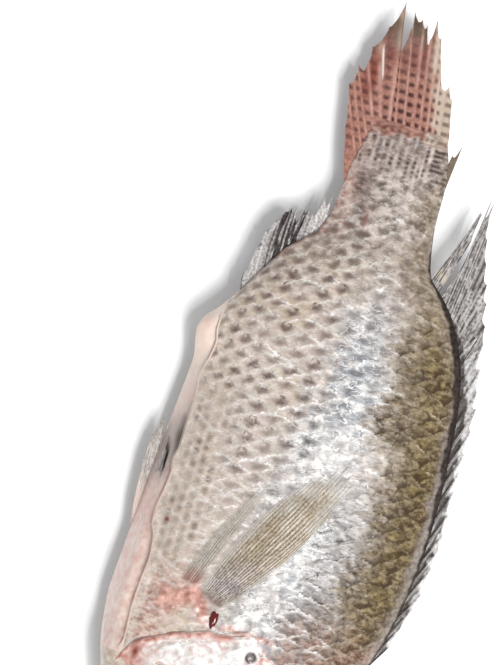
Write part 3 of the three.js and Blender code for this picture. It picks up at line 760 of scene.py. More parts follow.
flap_outline = np.array([flap_section(at) for at in flap_rows])
flap_y = flap_outline[..., 0]
flap_s = np.repeat(flap_rows[:, None], flap_y.shape[1], axis=1)
flap_place = np.repeat(np.arange(flap_y.shape[1])[None, :], len(flap_rows), axis=0)
flap_height = 0.28 * wander(flap_s, flap_y, 5, 31) + 0.12 * wander(flap_s, flap_y, 1.8, 32)
flap_height = flap_height * smooth(flap_place, 1, 6) * smooth(flap_y - belly(flap_s), 0, 1.2)
flap_height = flap_height * smooth(flap_s, flap_start, 60) * smooth(flap_s, trunk_end, 178)
flap_height = flap_height - 0.9 * patch(flap_s, flap_y, 118, -46.5, 6, 0.8)
flap_points = pushed_out(settle(flap_s, flap_y, flap_outline[..., 1]), flap_height)
# Painted shade inside the slit's gap, stronger where the gap is wider, over the dark flesh of the gut within it.
slit_shade_and_gut_mask = np.maximum(hump(flap_place, 5.6, 2), 0.9 * smooth(flap_place, 4.5, 6) * smooth(flap_place, 9, 7.6))
flap_blood = hump(flap_place, 6, 1.6) * smooth(flap_s, 138, 146) * smooth(flap_s, 182, 176)
flap_pink = np.maximum(patch(flap_s, flap_y, 94, -44.5, 4.5, 2.6), patch(flap_s, flap_y, 134, -46.5, 6, 3))
flap_grey = hump(flap_s + 1.2 * (flap_y + 46), 112, 11, 2.6) * smooth(flap_y, -52, -47)
# Painted shadow under the upper flap's cut edge, where the slit opens widest. The flap's olive mark carries it.
lip_shadow_patch = patch(flap_s, flap_y, 108.5, -43.8, 7, 1.3)
flesh = new_finish("pale_belly_flesh")
flesh_mottle = grain(flesh, 2.4, 3)
lobe_flesh = tint(flesh, flesh_mottle, (234, 208, 192, 0.72), (250, 233, 220, 0.72))
flesh_colour = tint(flesh, spread(flesh, flesh_mottle, 0.3, 0.7), (238, 194, 180), (255, 236, 224))
flesh_colour = layered(flesh, flesh_colour, flesh_mottle, [
    ("lobe", 1, lobe_flesh),
    ("pink", 0.45, (232, 184, 172)),
    ("grey", 0.75, (176, 164, 156)),
    # The olive mark here is painted shadow under the upper flap's edge.
    ("olive", 0.85, (104, 88, 68)),
    # Painted shadow in the groove between the pelvic fins.
    ("slit_shadow", 1, (58, 42, 34)),
    # Painted shade in the slit's gap, over the gut's own dark flesh.
    ("slit_shade_and_gut", 1, (84, 44, 34)),
    ("blood", 1, (120, 36, 26)),
])
flesh_normal = bumped(flesh, grain(flesh, 0.7, 2), 0.05, bumped(flesh, flesh_mottle, 0.12))
coat(flesh, flesh_colour, 0.36, flesh_normal, wet=0.5, wet_roughness=0.16, flesh=0.15)
make_piece("belly_flaps", flap_points, grid_faces(*flap_y.shape), "pale_belly_flesh", dict(
    slit_shade_and_gut=slit_shade_and_gut_mask * slit_open(flap_s) * np.clip(flap_gap(flap_s), 0.3, 1),
    blood=np.maximum(hump(flap_s, 143, 4.0) * hump(flap_place, 6, 3.5), flap_blood),
    lobe=smooth(flap_s, 108, 92),
    pink=np.maximum(flap_pink, 0.8 * patch(flap_s, flap_y, 69, -45.5, 4, 1.6)),
    grey=flap_grey,
    # Painted shadow under the upper flap's edge.
    olive=np.maximum(lip_shadow_patch, 0.5 * patch(flap_s, flap_y, 119, -45.6, 8, 1.6)),
    # Painted shadow along the groove between the pelvic fins.
    slit_shadow=patch(flap_s, flap_y - 0.09 * (flap_s - 118), 118, -46.45, 5.2, 0.75, 1.6),
))


# The head: firm skin over bone, scaly on the nape and the cheeks, smooth on the snout.
# It carries on from the trunk as one skin, on both sides.
def ring_faces(rings, sides, *caps):
    # Rings of points joined side by side. Each cap closes an end, with its points in order.
    return list(grid_faces(rings, sides, 0, True)) + list(caps)


eye_s = 211.0
eye_y = 5.5
head_rows = np.concatenate([np.arange(trunk_end, 244, 0.75), np.linspace(244, 249.85, 16)])
head_columns = 150
head_s = np.repeat(head_rows[:, None], head_columns, axis=1)
head_turn = np.linspace(0, 2 * np.pi, head_columns, endpoint=False)[None, :]
head_turn = np.repeat(head_turn, len(head_rows), axis=0)
head_right = head_turn <= np.pi
head_y, head_z = skin_point(head_s, np.where(head_right, head_turn, 2 * np.pi - head_turn))
head_scales = scale_cover(head_s, (head_y - widest(head_s)) * 1.12, 7)
scaly = smooth(head_s, 214, 200) * smooth(head_y, -30, -22)
scaly = np.maximum(scaly, smooth(head_s, 222, 206) * smooth(head_y, 8, 14))
eye_gap = np.hypot(head_s - eye_s, head_y - eye_y)
nostril_gap = np.hypot(head_s - 229, head_y - 2.2)
jaw_line = profile([(214, -26), (222, -23), (232, -19.6), (240, -16.5), (250, -12)])
cheek_bone = profile([(-34, 208), (-28, 212), (-22, 205), (-10, 199), (2, 198), (12, 201)])
cheek_gap = head_s - cheek_bone(head_y)
on_cheek = smooth(head_y, 10, 6) * smooth(head_y, -33, -28)
snout_fold = head_s - 0.3 * (head_y + 6)
head_height = (
    scale_relief(head_s, head_y, head_scales) * scaly
    + 0.9 * hump(eye_gap, 8.2, 1.5) - 0.8 * hump(eye_gap, 10.6, 1.3)
    - 0.7 * hump(head_y, jaw_line(head_s), 0.9) * smooth(head_s, 214, 224)
    - 1.2 * hump(nostril_gap, 0, 0.9) + 0.4 * hump(nostril_gap, 1.6, 0.7)
    + (0.5 * hump(cheek_gap, 2.6, 1.4) - 0.8 * hump(cheek_gap, 0, 0.9)) * on_cheek
    + 0.22 * wander(head_s, head_y, 6, 45) + 0.07 * wander(head_s, head_y, 1.8, 46)
    - 0.35 * (hump(snout_fold, 238, 0.8) + hump(snout_fold, 234, 0.8)) * smooth(head_y, -14, -10)
)
head_height = head_height * smooth(head_s, trunk_end, trunk_end + 1.5) * smooth(head_s, 249.6, 246)
head_points = settle(head_s, head_y, np.where(head_right, head_z, -head_z), -20)
head_points = above_floor(pushed_out(head_points, head_height))
below_crown = back(head_s) - head_y
waver = 1.6 * wander(head_s, head_y, 5, 47) + 0.8 * wander(head_s, head_y, 2, 48)
head_marks = skin_marks(head_s, head_y, head_scales)
head_marks.update(
    behind=head_marks["behind"] + 4 * (1 - scaly) * smooth(head_s, 184, 190),
    rim=head_marks["rim"] * scaly,
    crown=smooth(below_crown - waver, 17, 8) * smooth(head_s, 186, 204),
    cheek=0.9 * smooth(below_crown + waver, 10, 18) * smooth(head_s, 185, 198),
    snout=smooth(head_s + waver, 222, 236) * smooth(head_y, -19, -13),
    jaw=smooth(-head_y + jaw_line(head_s) + 0.5 * waver, -0.5, 2.5) * smooth(head_s, 204, 214),
    groove=0.6 * hump(cheek_gap, 0, 0.7) * on_cheek,
    # Painted shade of the nostril's opening, in its shallow pit.
    nostril=hump(nostril_gap, 0, 1.0),
)
head_cap = range((len(head_rows) - 1) * head_columns, len(head_rows) * head_columns)
head_faces = ring_faces(len(head_rows), head_columns, head_cap)
make_piece("head", head_points, head_faces, "wet_scaly_skin", head_marks)


# The gill covers: a thin bony plate on each side, whose free rear edge has a soft pink membrane.
# Each stands off the flank along its edge and runs into the cheek in front.
def slab_piece(name, outer, inner, finish, marks):
    # A thin closed slab: an outer grid, an inner grid and the rim round them.
    rows, columns = outer.shape[:2]
    count = rows * columns
    top = grid_faces(rows, columns)
    rim = [*range(columns), *range(2 * columns - 1, count, columns)]
    rim += [*range(count - 2, count - columns - 1, -1), *range(count - 2 * columns, 0, -columns)]
    side = [(a, b, b + count, a + count) for a, b in zip(rim, rim[1:] + rim[:1])]
    points = np.concatenate([outer.reshape(-1, 3), inner.reshape(-1, 3)])
    marks = {key: np.tile(np.ravel(value), 2) for key, value in marks.items()}
    make_piece(name, points, [*top, *(top[:, ::-1] + count), *side], finish, marks)


gill_edge = profile([
    (-44, 187), (-41, 182.6), (-38, 179), (-35, 176.4), (-31, 174.2), (-25, 171.6), (-18, 169), (-12, 167.9),
    (-6, 167.2), (-1, 165.6), (3, 167.6), (8, 171), (13, 175.5), (19, 183),
])
cheek_edge = profile([(-44, 203), (-36, 201), (-24, 196), (-8, 193), (8, 193.5), (19, 197)])
cover_rows = 140
cover_columns = 60
cover_y = np.repeat(np.linspace(-43, 18, cover_rows)[:, None], cover_columns, axis=1)
cover_t = np.repeat((np.linspace(0, 1, cover_columns) ** 1.2)[None, :], cover_rows, axis=0)
cover_edge = gill_edge(cover_y) + 0.5 * wander(cover_y, 0 * cover_y, 3, 41) * (1 - cover_t)
cover_s = cover_edge + (cheek_edge(cover_y) - cover_edge) * cover_t
cover_ends = np.sin(np.pi * (np.arange(cover_rows) + 0.35) / (cover_rows - 0.3))[:, None] ** 0.5
cover_lift = cover_ends * (0.5 + 0.45 * smooth(cover_y, 3, -8)) * (1 - cover_t) ** 0.7 - 0.4 * cover_t
from_edge = cover_s - cover_edge
cover_fold = 0.55 * hump(from_edge, 1.1, 0.9) - 0.45 * hump(from_edge, 3.2, 0.9)
cover_fold = cover_fold * smooth(cover_y, 4, -8) * cover_ends
cover_fold = cover_fold + 0.22 * wander(cover_s, cover_y, 4, 42) * smooth(from_edge, 0, 4)
cover_wrinkle = 1 - np.abs(wander(0.7 * cover_s + 0.5 * cover_y, 0.35 * (cover_y - cover_s), 1.5, 43))
wrinkled = smooth(from_edge, 0.5, 3) * smooth(from_edge, 14, 7)
cover_fold = cover_fold + 0.4 * (cover_wrinkle ** 3 - 0.4) * wrinkled
cover_rosy = smooth(cover_y, -30, -38) + 0.75 * smooth(cover_y, 1.5, 5)
cover_bloody = 0.7 * hump(from_edge, 0, 0.5) * smooth(cover_y, -16, -24)
cover_bloody = cover_bloody * (0.7 + 0.5 * wander(cover_y, cover_s, 3, 57))
cover_veins = cover_wrinkle ** 5 * smooth(wander(cover_s, cover_y, 4.5, 44), -0.5, 0.3)
cover_veins = cover_veins * smooth(from_edge, 16, 8)
bead_gap = np.hypot(cover_s - 172.6, cover_y - 0.7)
cover_marks = dict(
    rosy=np.maximum(hump(from_edge, 1.0, 1.3) * smooth(cover_y, -2, -9), cover_rosy),
    bloody=np.maximum(cover_bloody, patch(cover_s, cover_y, 182, -37, 2.6, 1.2)),
    veins=cover_veins, stain=patch(cover_s, cover_y, 170.5, -5.6, 2.4, 1.6),
    ring=hump(bead_gap, 1.5, 0.55), bead=hump(bead_gap, 0, 1.7, 4),
)
gill_plate = new_finish("white_gill_plate")
plate_mottle = grain(gill_plate, 2.2, 3)
plate_colour = tint(gill_plate, spread(gill_plate, plate_mottle, 0.38, 0.6), (216, 206, 200), (252, 250, 247))
plate_colour = layered(gill_plate, plate_colour, spread(gill_plate, plate_mottle, 0.36, 0.62), [
    ("rosy", 1, (186, 116, 102), (232, 190, 176)),
    ("veins", 0.85, (206, 160, 148)),
    ("stain", 0.6, (160, 148, 142)),
    ("bead", 1, (120, 110, 108)),
    ("ring", 1, (72, 62, 60)),
    ("bloody", 1, (134, 58, 46)),
])
plate_normal = bumped(gill_plate, grain(gill_plate, 0.6, 2), 0.05, bumped(gill_plate, plate_mottle, 0.14))
coat(gill_plate, plate_colour, 0.34, plate_normal, wet=0.5)
for side, name in ((1, "gill_cover_right"), (-1, "gill_cover_left")):
    outer = settle(cover_s, cover_y, side * (flank(cover_s, cover_y) + cover_lift + cover_fold), 0.05)
    outer[..., 2] -= side * 0.35 * hump(from_edge, 0, 0.8)
    inner = settle(cover_s, cover_y, side * (flank(cover_s, cover_y) - 0.6), 0.3)
    slab_piece(name, above_floor(outer), inner, "white_gill_plate", cover_marks)


# The eyes: clear domes over a black pupil and a golden iris, set in a ring of skin.
eyeball = new_finish("clear_eye")
iris_gold = tint(eyeball, grain(eyeball, 0.8, 3), (150, 118, 62), (214, 190, 132))
eye_colour = tint(eyeball, mark(eyeball, "pupil"), iris_gold, (12, 10, 10))
eye_colour = tint(eyeball, mark(eyeball, "lid"), eye_colour, (96, 84, 70))
coat(eyeball, eye_colour, 0.12, None, wet=1.0, wet_roughness=0.03)
eye_rings = 40
eye_sides = 64
eye_radius = 7.0
eye_bulge = 5.0
eye_angle = np.linspace(0.02, np.pi / 2, eye_rings)[:, None]
eye_turn = np.linspace(0, 2 * np.pi, eye_sides, endpoint=False)[None, :]
eye_level = flank(np.array(eye_s), np.array(eye_y)) + 2.0 - eye_bulge + eye_bulge * np.cos(eye_angle)
eye_marks = dict(
    pupil=np.repeat(smooth(np.sin(eye_angle), 0.46, 0.40), eye_sides, axis=1),
    lid=np.repeat(smooth(np.sin(eye_angle), 0.86, 0.95), eye_sides, axis=1),
)
for side, name in ((1, "eye_right"), (-1, "eye_left")):
    out = eye_radius * np.sin(eye_angle)
    points = settle(eye_s + out * np.cos(eye_turn), eye_y + out * np.sin(eye_turn), side * eye_level, -20)
    faces = ring_faces(eye_rings, eye_sides, range(eye_sides))
    make_piece(name, above_floor(points), faces, "clear_eye", eye_marks)


# The lips: two fat soft rolls round the snout, which meet along the mouth's line.
lip_flesh = new_finish("soft_lip")
lip_mottle = grain(lip_flesh, 1.2, 3)
lip_colour = tint(lip_flesh, lip_mottle, (178, 146, 132), (214, 188, 172))
coat(lip_flesh, lip_colour, 0.34, bumped(lip_flesh, lip_mottle, 0.1), wet=0.5, wet_roughness=0.14)
lip_rings = 80
lip_sides = 20
lip_radius = 2.3
lip_rise = 1.725
mouth_corner = 233
for up, name in ((1, "lip_upper"), (-1, "lip_lower")):
    stations = np.array([mouth_corner, 236, 239, 242, 244.5, 246.5, 248, 249.2])
    y = -19 + 7.5 * smooth(stations, mouth_corner, snout) + up * lip_rise
    z = flank(stations, np.clip(y, belly(stations) + 0.8, back(stations) - 0.8)) - 0.8
    half = np.stack([stations, y, z], axis=1)
    path = np.concatenate([half, [[249.6, -11.5 + up * lip_rise, 0]], (half * [1, 1, -1])[::-1]])
    run = np.concatenate([[0], np.cumsum(np.linalg.norm(np.diff(path, axis=0), axis=1))])
    fine_run = np.linspace(0, run[-1], lip_rings)
    line = np.stack([np.interp(fine_run, run, path[:, k]) for k in range(3)], axis=1)
    for _ in range(6):
        line[1:-1] = (line[:-2] + 2 * line[1:-1] + line[2:]) / 4
    line = settle(*line.T, -20)
    up_way = np.array([0.0, 1.0, 0.0])
    side_way = np.cross(np.gradient(line, axis=0), up_way)
    side_way /= np.linalg.norm(side_way, axis=1, keepdims=True)
    radius = lip_radius * (0.3 + 0.7 * np.sin(np.pi * np.linspace(0, 1, lip_rings)) ** 0.5)
    lip_turn = np.linspace(0, 2 * np.pi, lip_sides, endpoint=False)[None, :, None]
    rings = np.cos(lip_turn) * side_way[:, None, :] + np.sin(lip_turn) * up_way
    rings = line[:, None, :] + radius[:, None, None] * rings
    last_ring = range((lip_rings - 1) * lip_sides, lip_rings * lip_sides)
    faces = ring_faces(lip_rings, lip_sides, range(lip_sides - 1, -1, -1), last_ring)
    make_piece(name, rings, faces, "soft_lip")


# The tail fin: soft jointed rays, salmon pink with rows of dark spots, frayed at the edge, and folded there on
# the real fin.
# It grows out of the tail's root. The real fin's lower lobe is folded along its outer ray; here the fin is thin
# sheets without folds.
def fan(bases, tips, per_ray, rows, bow=0.0, notch=0.5):
    # Points across and along a fin from its rays, one sheet for each lobe that a deep tear leaves.
    # A base is the ray's number, s and y, and a tip is s, y and how deep the web is torn beyond it.
    tips = np.array(tips, float)
    bases = np.array(bases, float)
    number = np.arange(len(tips))
    base = np.stack([np.interp(number, bases[:, 0], bases[:, k]) for k in (1, 2)], axis=1)
    tears = [i for i in number[:-1] if tips[i, 2] > 0.5]
    sheets = []
    for first, last in zip([0] + [i + 1 for i in tears], tears + [len(tips) - 1]):
        ray = np.linspace(first, last, (last - first) * per_ray + 1)
        low = np.clip(np.floor(ray).astype(int), first, max(last - 1, first))
        part = (ray - low)[:, None]
        after = np.minimum(low + 1, last)
        line_base = base[low] * (1 - part) + base[after] * part
        line = tips[low, :2] * (1 - part) + tips[after, :2] * part - line_base
        torn = tips[low, 2] * (1 - np.abs(2 * part[:, 0] - 1)) ** notch
        reach = np.linspace(0, 1, rows)[:, None] * (1 - torn[None, :])
        bend = bow(ray) if callable(bow) else bow
        sheets.append({
            "s": line_base[:, 0] + line[:, 0] * reach,
            "y": line_base[:, 1] + line[:, 1] * reach + bend * 4 * reach * (1 - reach),
            "ray": np.repeat(ray[None, :], rows, axis=0), "reach": reach,
            "along": reach * np.linalg.norm(line, axis=1),
            "inside": np.repeat(np.minimum(ray - first, last - ray)[None, :], rows, axis=0),
        })
    return sheets


def fin_piece(name, sheet, level, thick, finish, marks):
    s, y = sheet["s"], sheet["y"]
    slab_piece(name, settle(s, y, level + thick / 2), settle(s, y, level - thick / 2), finish, marks)


tail_bases = [(0, 15, -13.4), (5, -4, -10), (22, -4, 15.2), (23, 0, 16.2), (24, 5, 16), (25, 8, 18.4)]
tail_tips = [
    (2, -17.4, 0.1), (-8, -19.8, 0.05), (-15, -21, 0.05), (-22.5, -22.9, 0.05), (-26.5, -21.3, 0.05),
    (-29.6, -21.6, 0.1), (-31.2, -18.9, 0.05), (-36.5, -18.7, 0.04), (-44.7, -15.1, 0.04), (-54.9, -12, 0.05),
    (-47, -10.8, 0.05), (-38, -9, 0.03), (-46.5, -7.8, 0.05), (-52.3, -8.2, 0.05), (-50.5, -5, 0.05),
    (-49, -2.8, 0.1), (-44.5, -0.6, 0.04), (-52.8, -0.2, 0.08), (-46.8, 2.8, 0.05), (-37, 5.6, 0.04),
    (-30.3, 7.7, 0.06), (-31.4, 10.2, 0.06), (-27, 12.4, 0.05), (-14.4, 15.1, 0.75), (-9.5, 17.9, 0.2),
    (-14.6, 20.5, 0),
]
spot_columns = [1.84, 3.14, 3.95, 5.33, 6.91, 8.06, 9.61, 11.58, 13.45, 15.22, 16.89, 18.29, 19.82, 21.11]
tail_web = new_finish("salmon_tail_fin")
web_mottle = grain(tail_web, 1.1, 3)
web_colour = tint(tail_web, spread(tail_web, web_mottle, 0.22, 0.74), (130, 80, 66), (186, 132, 116))
web_colour = layered(tail_web, web_colour, web_mottle, [
    ("pale", 1, (176, 152, 134), (216, 198, 180)),
    ("dusk", 1, (74, 60, 42), (110, 92, 70)),
    ("red", 1, (104, 38, 28), (158, 84, 66)),
    ("line", 1, (220, 184, 168)),
    ("spot", 1, tint(tail_web, mark(tail_web, "pale"), (66, 18, 12), (96, 72, 60))),
    ("torn_line", 1, (236, 228, 220)),
])
coat(tail_web, web_colour, 0.45, bumped(tail_web, web_mottle, 0.08), wet=0.2, wet_roughness=0.2)
for number, sheet in enumerate(fan(tail_bases, tail_tips, 9, 120)):
    s, y, ray, reach = sheet["s"], sheet["y"], sheet["ray"], sheet["reach"]
    column = np.interp(ray, spot_columns, np.arange(1, 15))
    off_column = np.abs(off_whole(column)) * 2
    ridge = hump(off_column, 0, 0.5)
    thick = 0.28 + 0.3 * ridge * (1 - 0.5 * reach) + 0.25 * (1 - reach)
    spot_row = off_whole((s + 11.5 + 0.25 * np.sin(2.7 * np.round(column))) / web_spot_pitch)
    dot = hump(spot_row * web_spot_pitch, 0, 0.78, 4) * hump(off_column, 0, 0.56, 4)
    ragged = wander(s, y, 2.5, 53)
    pale = smooth(ray + 0.9 * ragged - 0.9 * smooth(s, -26, -12), 16.8, 19.4)
    pale = np.maximum(pale, smooth(-s + 2 * ragged, 28, 38) * smooth(ray + 0.5 * ragged, 16.0, 17.4))
    pale = np.maximum(pale, 0.8 * smooth(s, -36, -42) * hump(ray, 10.3, 0.9))
    dusk = smooth(-s + 3 * ragged, 38, 46) * smooth(ray, 11.5, 12.5) * smooth(ray, 16.2, 15)
    dusk = np.maximum(dusk, smooth(-s + 2 * ragged, 34, 42) * hump(ray, 8.7, 0.8))
    lobe_edge = 0.8 * smooth(reach + 0.03 * ragged, 0.88, 0.95)
    lobe_edge = lobe_edge * smooth(ray, 6.8, 7.4) * smooth(ray, 9.7, 9.2)
    dusk = np.maximum(np.maximum(dusk, lobe_edge), 0.85 * smooth(ray, 23.3, 24))
    red = 0.5 * smooth(-s + 4 * ragged, 28, 38) * smooth(ray, 11.4, 12.2) * smooth(ray, 16.6, 15.8)
    red = np.maximum(red, 1.3 * patch(s, y, -26, -16.4, 8, 2.4, 1.3))
    red = np.maximum(red, smooth(s, -32, -36) * hump(ray, 8.4, 0.5))
    torn_line = hump(y - 0.28 * (s + 28), -12.5, 0.28) * smooth(s, -26, -29) * smooth(s, -39, -36)
    joined = ridge * smooth(s, -28, -38) * 0.5 * (1 - pale)
    dot = np.maximum(dot * (0.75 + 0.5 * patch(s, y, -19, -1, 11, 9)), joined)
    fin_piece(
        f"tail_fin_{number + 1}", sheet, 0.5 * wander(s, y, 9, 52) * reach, thick, "salmon_tail_fin",
        dict(
            spot=dot * smooth(s, 4, -6) * (1 - 0.6 * dusk), red=red * (1 - torn_line) * (1 - dusk),
            line=0.55 * hump(off_column, 1, 0.3) * (0.5 + 0.5 * wander(s * 0.3, ray * 3, 1.0, 51)),
            pale=pale, dusk=dusk, torn_line=torn_line,
        ),
    )


# The dorsal fin: seventeen stiff spines folded back along the ridge, with a dark web between them.
# Its soft rays behind end in two points over the tail's root.
spine_rise = profile([
    (42, 13), (50, 9.5), (58, 6.8), (72, 5.7), (84, 4.9), (100, 4.3), (125, 4.1), (141, 3.7), (149, 2.8),
    (155, 2.3), (160, 1.6), (166, 1),
])
spine_lean = 19
spine_roots = np.linspace(176, 63, 17)
spine_chance = np.random.default_rng(63).uniform(-1, 1, (17, 3))
spine_bases = [(i, s, float(back(s)) - 2.5) for i, s in enumerate(spine_roots)]
spine_tips = [
    (s + 1.5 * a, float(back(s) + spine_rise(s)) + 0.35 * b, 0.13 + 0.1 * c)
    for s, (a, b, c) in zip(spine_roots - spine_lean, spine_chance)
]
soft_bases = [(17, 60, 40), (26, 39.5, 28.9), (32, 34.8, 22)]
soft_tips = [
    (50, 46.3, 0.12), (43.7, 45.2, 0.12), (36, 43.4, 0.1), (30, 41.7, 0.08), (23.5, 39.6, 0.06), (15, 37.4, 0.06),
    (9.6, 36.2, 0.06), (1.2, 36.3, 0.2), (0.1, 35.2, 0.06), (11, 35.2, 0.06), (22, 33.9, 0.8), (18, 32.2, 0.06),
    (6.5, 33.4, 0.05), (5.6, 32.9, 0.08), (14, 30.8, 0.08), (26, 26.2, 0),
]
band_top = profile([(36, -1.2), (44, 0.4), (52, 1.2), (90, 2.4), (112, 2.4), (150, 1.8), (176, 0.9)])
dorsal_web = new_finish("grey_dorsal_fin")
dorsal_mottle = grain(dorsal_web, 1.0, 3)
dorsal_clear = spread(dorsal_web, dorsal_mottle, 0.36, 0.64)
dorsal_colour = tint(dorsal_web, dorsal_clear, (92, 83, 78), (190, 184, 180))
dorsal_colour = layered(dorsal_web, dorsal_colour, dorsal_clear, [
    ("glassy", 1, (132, 125, 122), (232, 229, 227)),
    ("cream", 1, (206, 192, 168)),
    ("bone", 1, (214, 208, 204)),
    ("dash", 1, (44, 34, 30)),
    ("root", 1, (24, 17, 15), (74, 62, 54)),
])
dorsal_solid = mark(dorsal_web, "solid")
dorsal_normal = bumped(dorsal_web, dorsal_mottle, 0.12)
coat(dorsal_web, dorsal_colour, 0.4, dorsal_normal, wet=0.4, wet_roughness=0.16, solid=dorsal_solid)
for number, sheet in enumerate(fan(spine_bases + soft_bases, spine_tips + soft_tips, 9, 70, notch=0.8)):
    s, y, ray, reach, along = sheet["s"], sheet["y"], sheet["ray"], sheet["reach"], sheet["along"]
    near_ray = np.abs(off_whole(ray)) * 2
    spiny = smooth(ray, 17.5, 15.5)
    ridge = hump(near_ray, 0, 0.3)
    thick = 0.3 + (0.35 + 0.15 * spiny) * ridge * (1 - 0.6 * reach) + 0.5 * (1 - reach) ** 2
    over_back = y - back(s)
    root = smooth(band_top(s) + 0.9 * wander(s, y, 2.2, 64) - over_back, -0.5, 0.5) * smooth(s, 40, 48)
    flecks = smooth(wander(s + 2 * y, y - 0.3 * s, 1.5, 65), 0.1, 0.5) * smooth(s, 88, 70) * smooth(s, 38, 46)
    dash_ray = 1.6 * ray
    dashes = smooth(wander(0.6 * along, np.round(dash_ray) * 7, 1.4, 61), -0.3, 0.1)
    dashes = dashes * hump(np.abs(off_whole(dash_ray)) * 2, 0, 0.5) * (1 - spiny)
    spines = ridge * spiny * smooth(reach, 0.97, 0.72) * (0.75 + 0.5 * wander(along, ray * 5, 2, 66))
    fin_piece(
        f"dorsal_fin_{number + 1}", sheet, 0.4 * wander(s, y, 6, 62) * reach, thick, "grey_dorsal_fin",
        dict(
            root=root, glassy=spiny * (1 - root), cream=hump(along, 5.5, 1.6) * smooth(ray, 26.5, 27.5),
            dash=np.clip(np.maximum(np.maximum(dashes, spines), 0.35 * flecks), 0, 1),
            bone=hump(near_ray, 0.6, 0.16) * 0.8 * (1 - root),
            solid=np.clip(1 - (0.14 + 0.2 * spiny) * (1 - ridge) * smooth(over_back, 1.2, 2.6) + root, 0, 1),
        ),
    )


# The anal fin: three spines and a clump of torn soft rays, dark along the rays and clear between them.
# It grows from the belly's ridge behind the vent.
anal_bases = [(0, 58, -37.5), (4, 47.5, -31.2), (12, 29, -16)]
anal_tips = [
    (49.7, -38.8, 0.3), (41.5, -37, 0.06), (34.2, -35.6, 0.05), (29, -33.2, 0.05), (25.4, -30.8, 0.04),
    (24, -29.3, 0.08), (24, -27.4, 0.25), (23.1, -24.9, 0.1), (22.4, -23.5, 0.15), (23.6, -21.8, 0.15),
    (22.1, -20.5, 0.1), (16.7, -19.4, 0.3), (16.1, -17.2, 0),
]
anal_web = new_finish("clear_anal_fin")
anal_mottle = grain(anal_web, 0.9, 3)
anal_clear = spread(anal_web, anal_mottle, 0.36, 0.64)
anal_colour = tint(anal_web, anal_clear, (168, 158, 154), (234, 230, 228))
anal_colour = layered(anal_web, anal_colour, anal_clear, [
    ("rosy", 1, (176, 112, 102), (222, 176, 164)),
    ("dark", 1, (20, 13, 13), (72, 59, 57)),
])
anal_normal = bumped(anal_web, anal_mottle, 0.2)
coat(anal_web, anal_colour, 0.34, anal_normal, wet=0.5, wet_roughness=0.14, solid=mark(anal_web, "solid"))
for number, sheet in enumerate(fan(anal_bases, anal_tips, 10, 70, -0.4, 0.7)):
    s, y, ray, reach, along = sheet["s"], sheet["y"], sheet["ray"], sheet["reach"], sheet["along"]
    ridge = hump(off_whole(ray) * 2, 0, 0.35)
    clump = smooth(ray, 2.4, 3.6) * smooth(ray, 9.6, 7.8)
    strand = smooth(wander(3.1 * ray, 0.16 * along, 1.0, 71), -0.55, 0.15)
    web_dots = np.maximum(patch(s, y, 33.6, -35.0, 0.7, 0.7), patch(s, y, 38.8, -35.9, 0.7, 0.7))
    dark = np.maximum(clump * (0.45 + 0.6 * strand), np.maximum(0.8 * hump(ray, 0, 0.3), web_dots))
    level = 0.5 * wander(s, y, 5, 72) * reach + 0.45 * clump * wander(2.2 * ray, 0.2 * along, 1.0, 73)
    fin_piece(
        f"anal_fin_{number + 1}", sheet, level, 0.25 + 0.5 * ridge * (1 - 0.6 * reach), "clear_anal_fin",
        dict(
            dark=np.clip(dark, 0, 1), rosy=smooth(reach, 0.3, 0.08) * smooth(ray, 4.5, 6.5),
            solid=np.clip(0.5 + 0.5 * clump + 0.4 * ridge + dark + 0.4 * smooth(ray, 9, 10), 0, 1),
        ),
    )


# The pectoral fins: thin tan fans with fine pale rays, flat against each flank, split in two lobes.
# Each grows from a fleshy root just behind the gill cover.
pectoral_bases = [(0, 160.4, -14), (5, 158.8, -19), (9, 156.6, -22.3), (14, 154.2, -29.6)]
pectoral_tips = [
    (121.5, 11.2, 0.06), (113, 15.5, 0.08), (107.5, 17.2, 0.06), (104, 16.4, 0.08), (102, 14.2, 0.05),
    (104, 11.2, 0.08), (106.5, 7.4, 0.06), (109.5, 3.4, 0.05), (114, -1, 0.06), (120.5, -5.6, 0.86),
    (117, -8.2, 0.06), (115.5, -10, 0.08), (117.5, -12.4, 0.08), (123, -16, 0.1), (132, -20.6, 0),
]
pectoral_bend = profile([(0, 3.0), (3, 1.8), (6, -0.6), (8, -2.2), (9, -2.4), (10, -0.4), (14, -0.8)])
pectoral_web = new_finish("tan_pectoral_fin")
pectoral_mottle = grain(pectoral_web, 0.8, 3)
pectoral_clear = spread(pectoral_web, pectoral_mottle, 0.36, 0.64)
pectoral_colour = tint(pectoral_web, pectoral_clear, (118, 101, 76), (172, 155, 130))
pectoral_colour = layered(pectoral_web, pectoral_colour, pectoral_clear, [
    ("grey", 1, (104, 92, 92), (168, 157, 155)),
    ("sheer", 1, (206, 196, 182), (240, 234, 226)),
    ("rosy", 1, (176, 122, 108)),
    ("groove", 1, (92, 76, 58)),
    ("bone", 1, (236, 228, 216)),
])
pectoral_solid = mark(pectoral_web, "solid")
pectoral_normal = bumped(pectoral_web, pectoral_mottle, 0.08)
coat(pectoral_web, pectoral_colour, 0.42, pectoral_normal, wet=0.35, wet_roughness=0.16, solid=pectoral_solid)
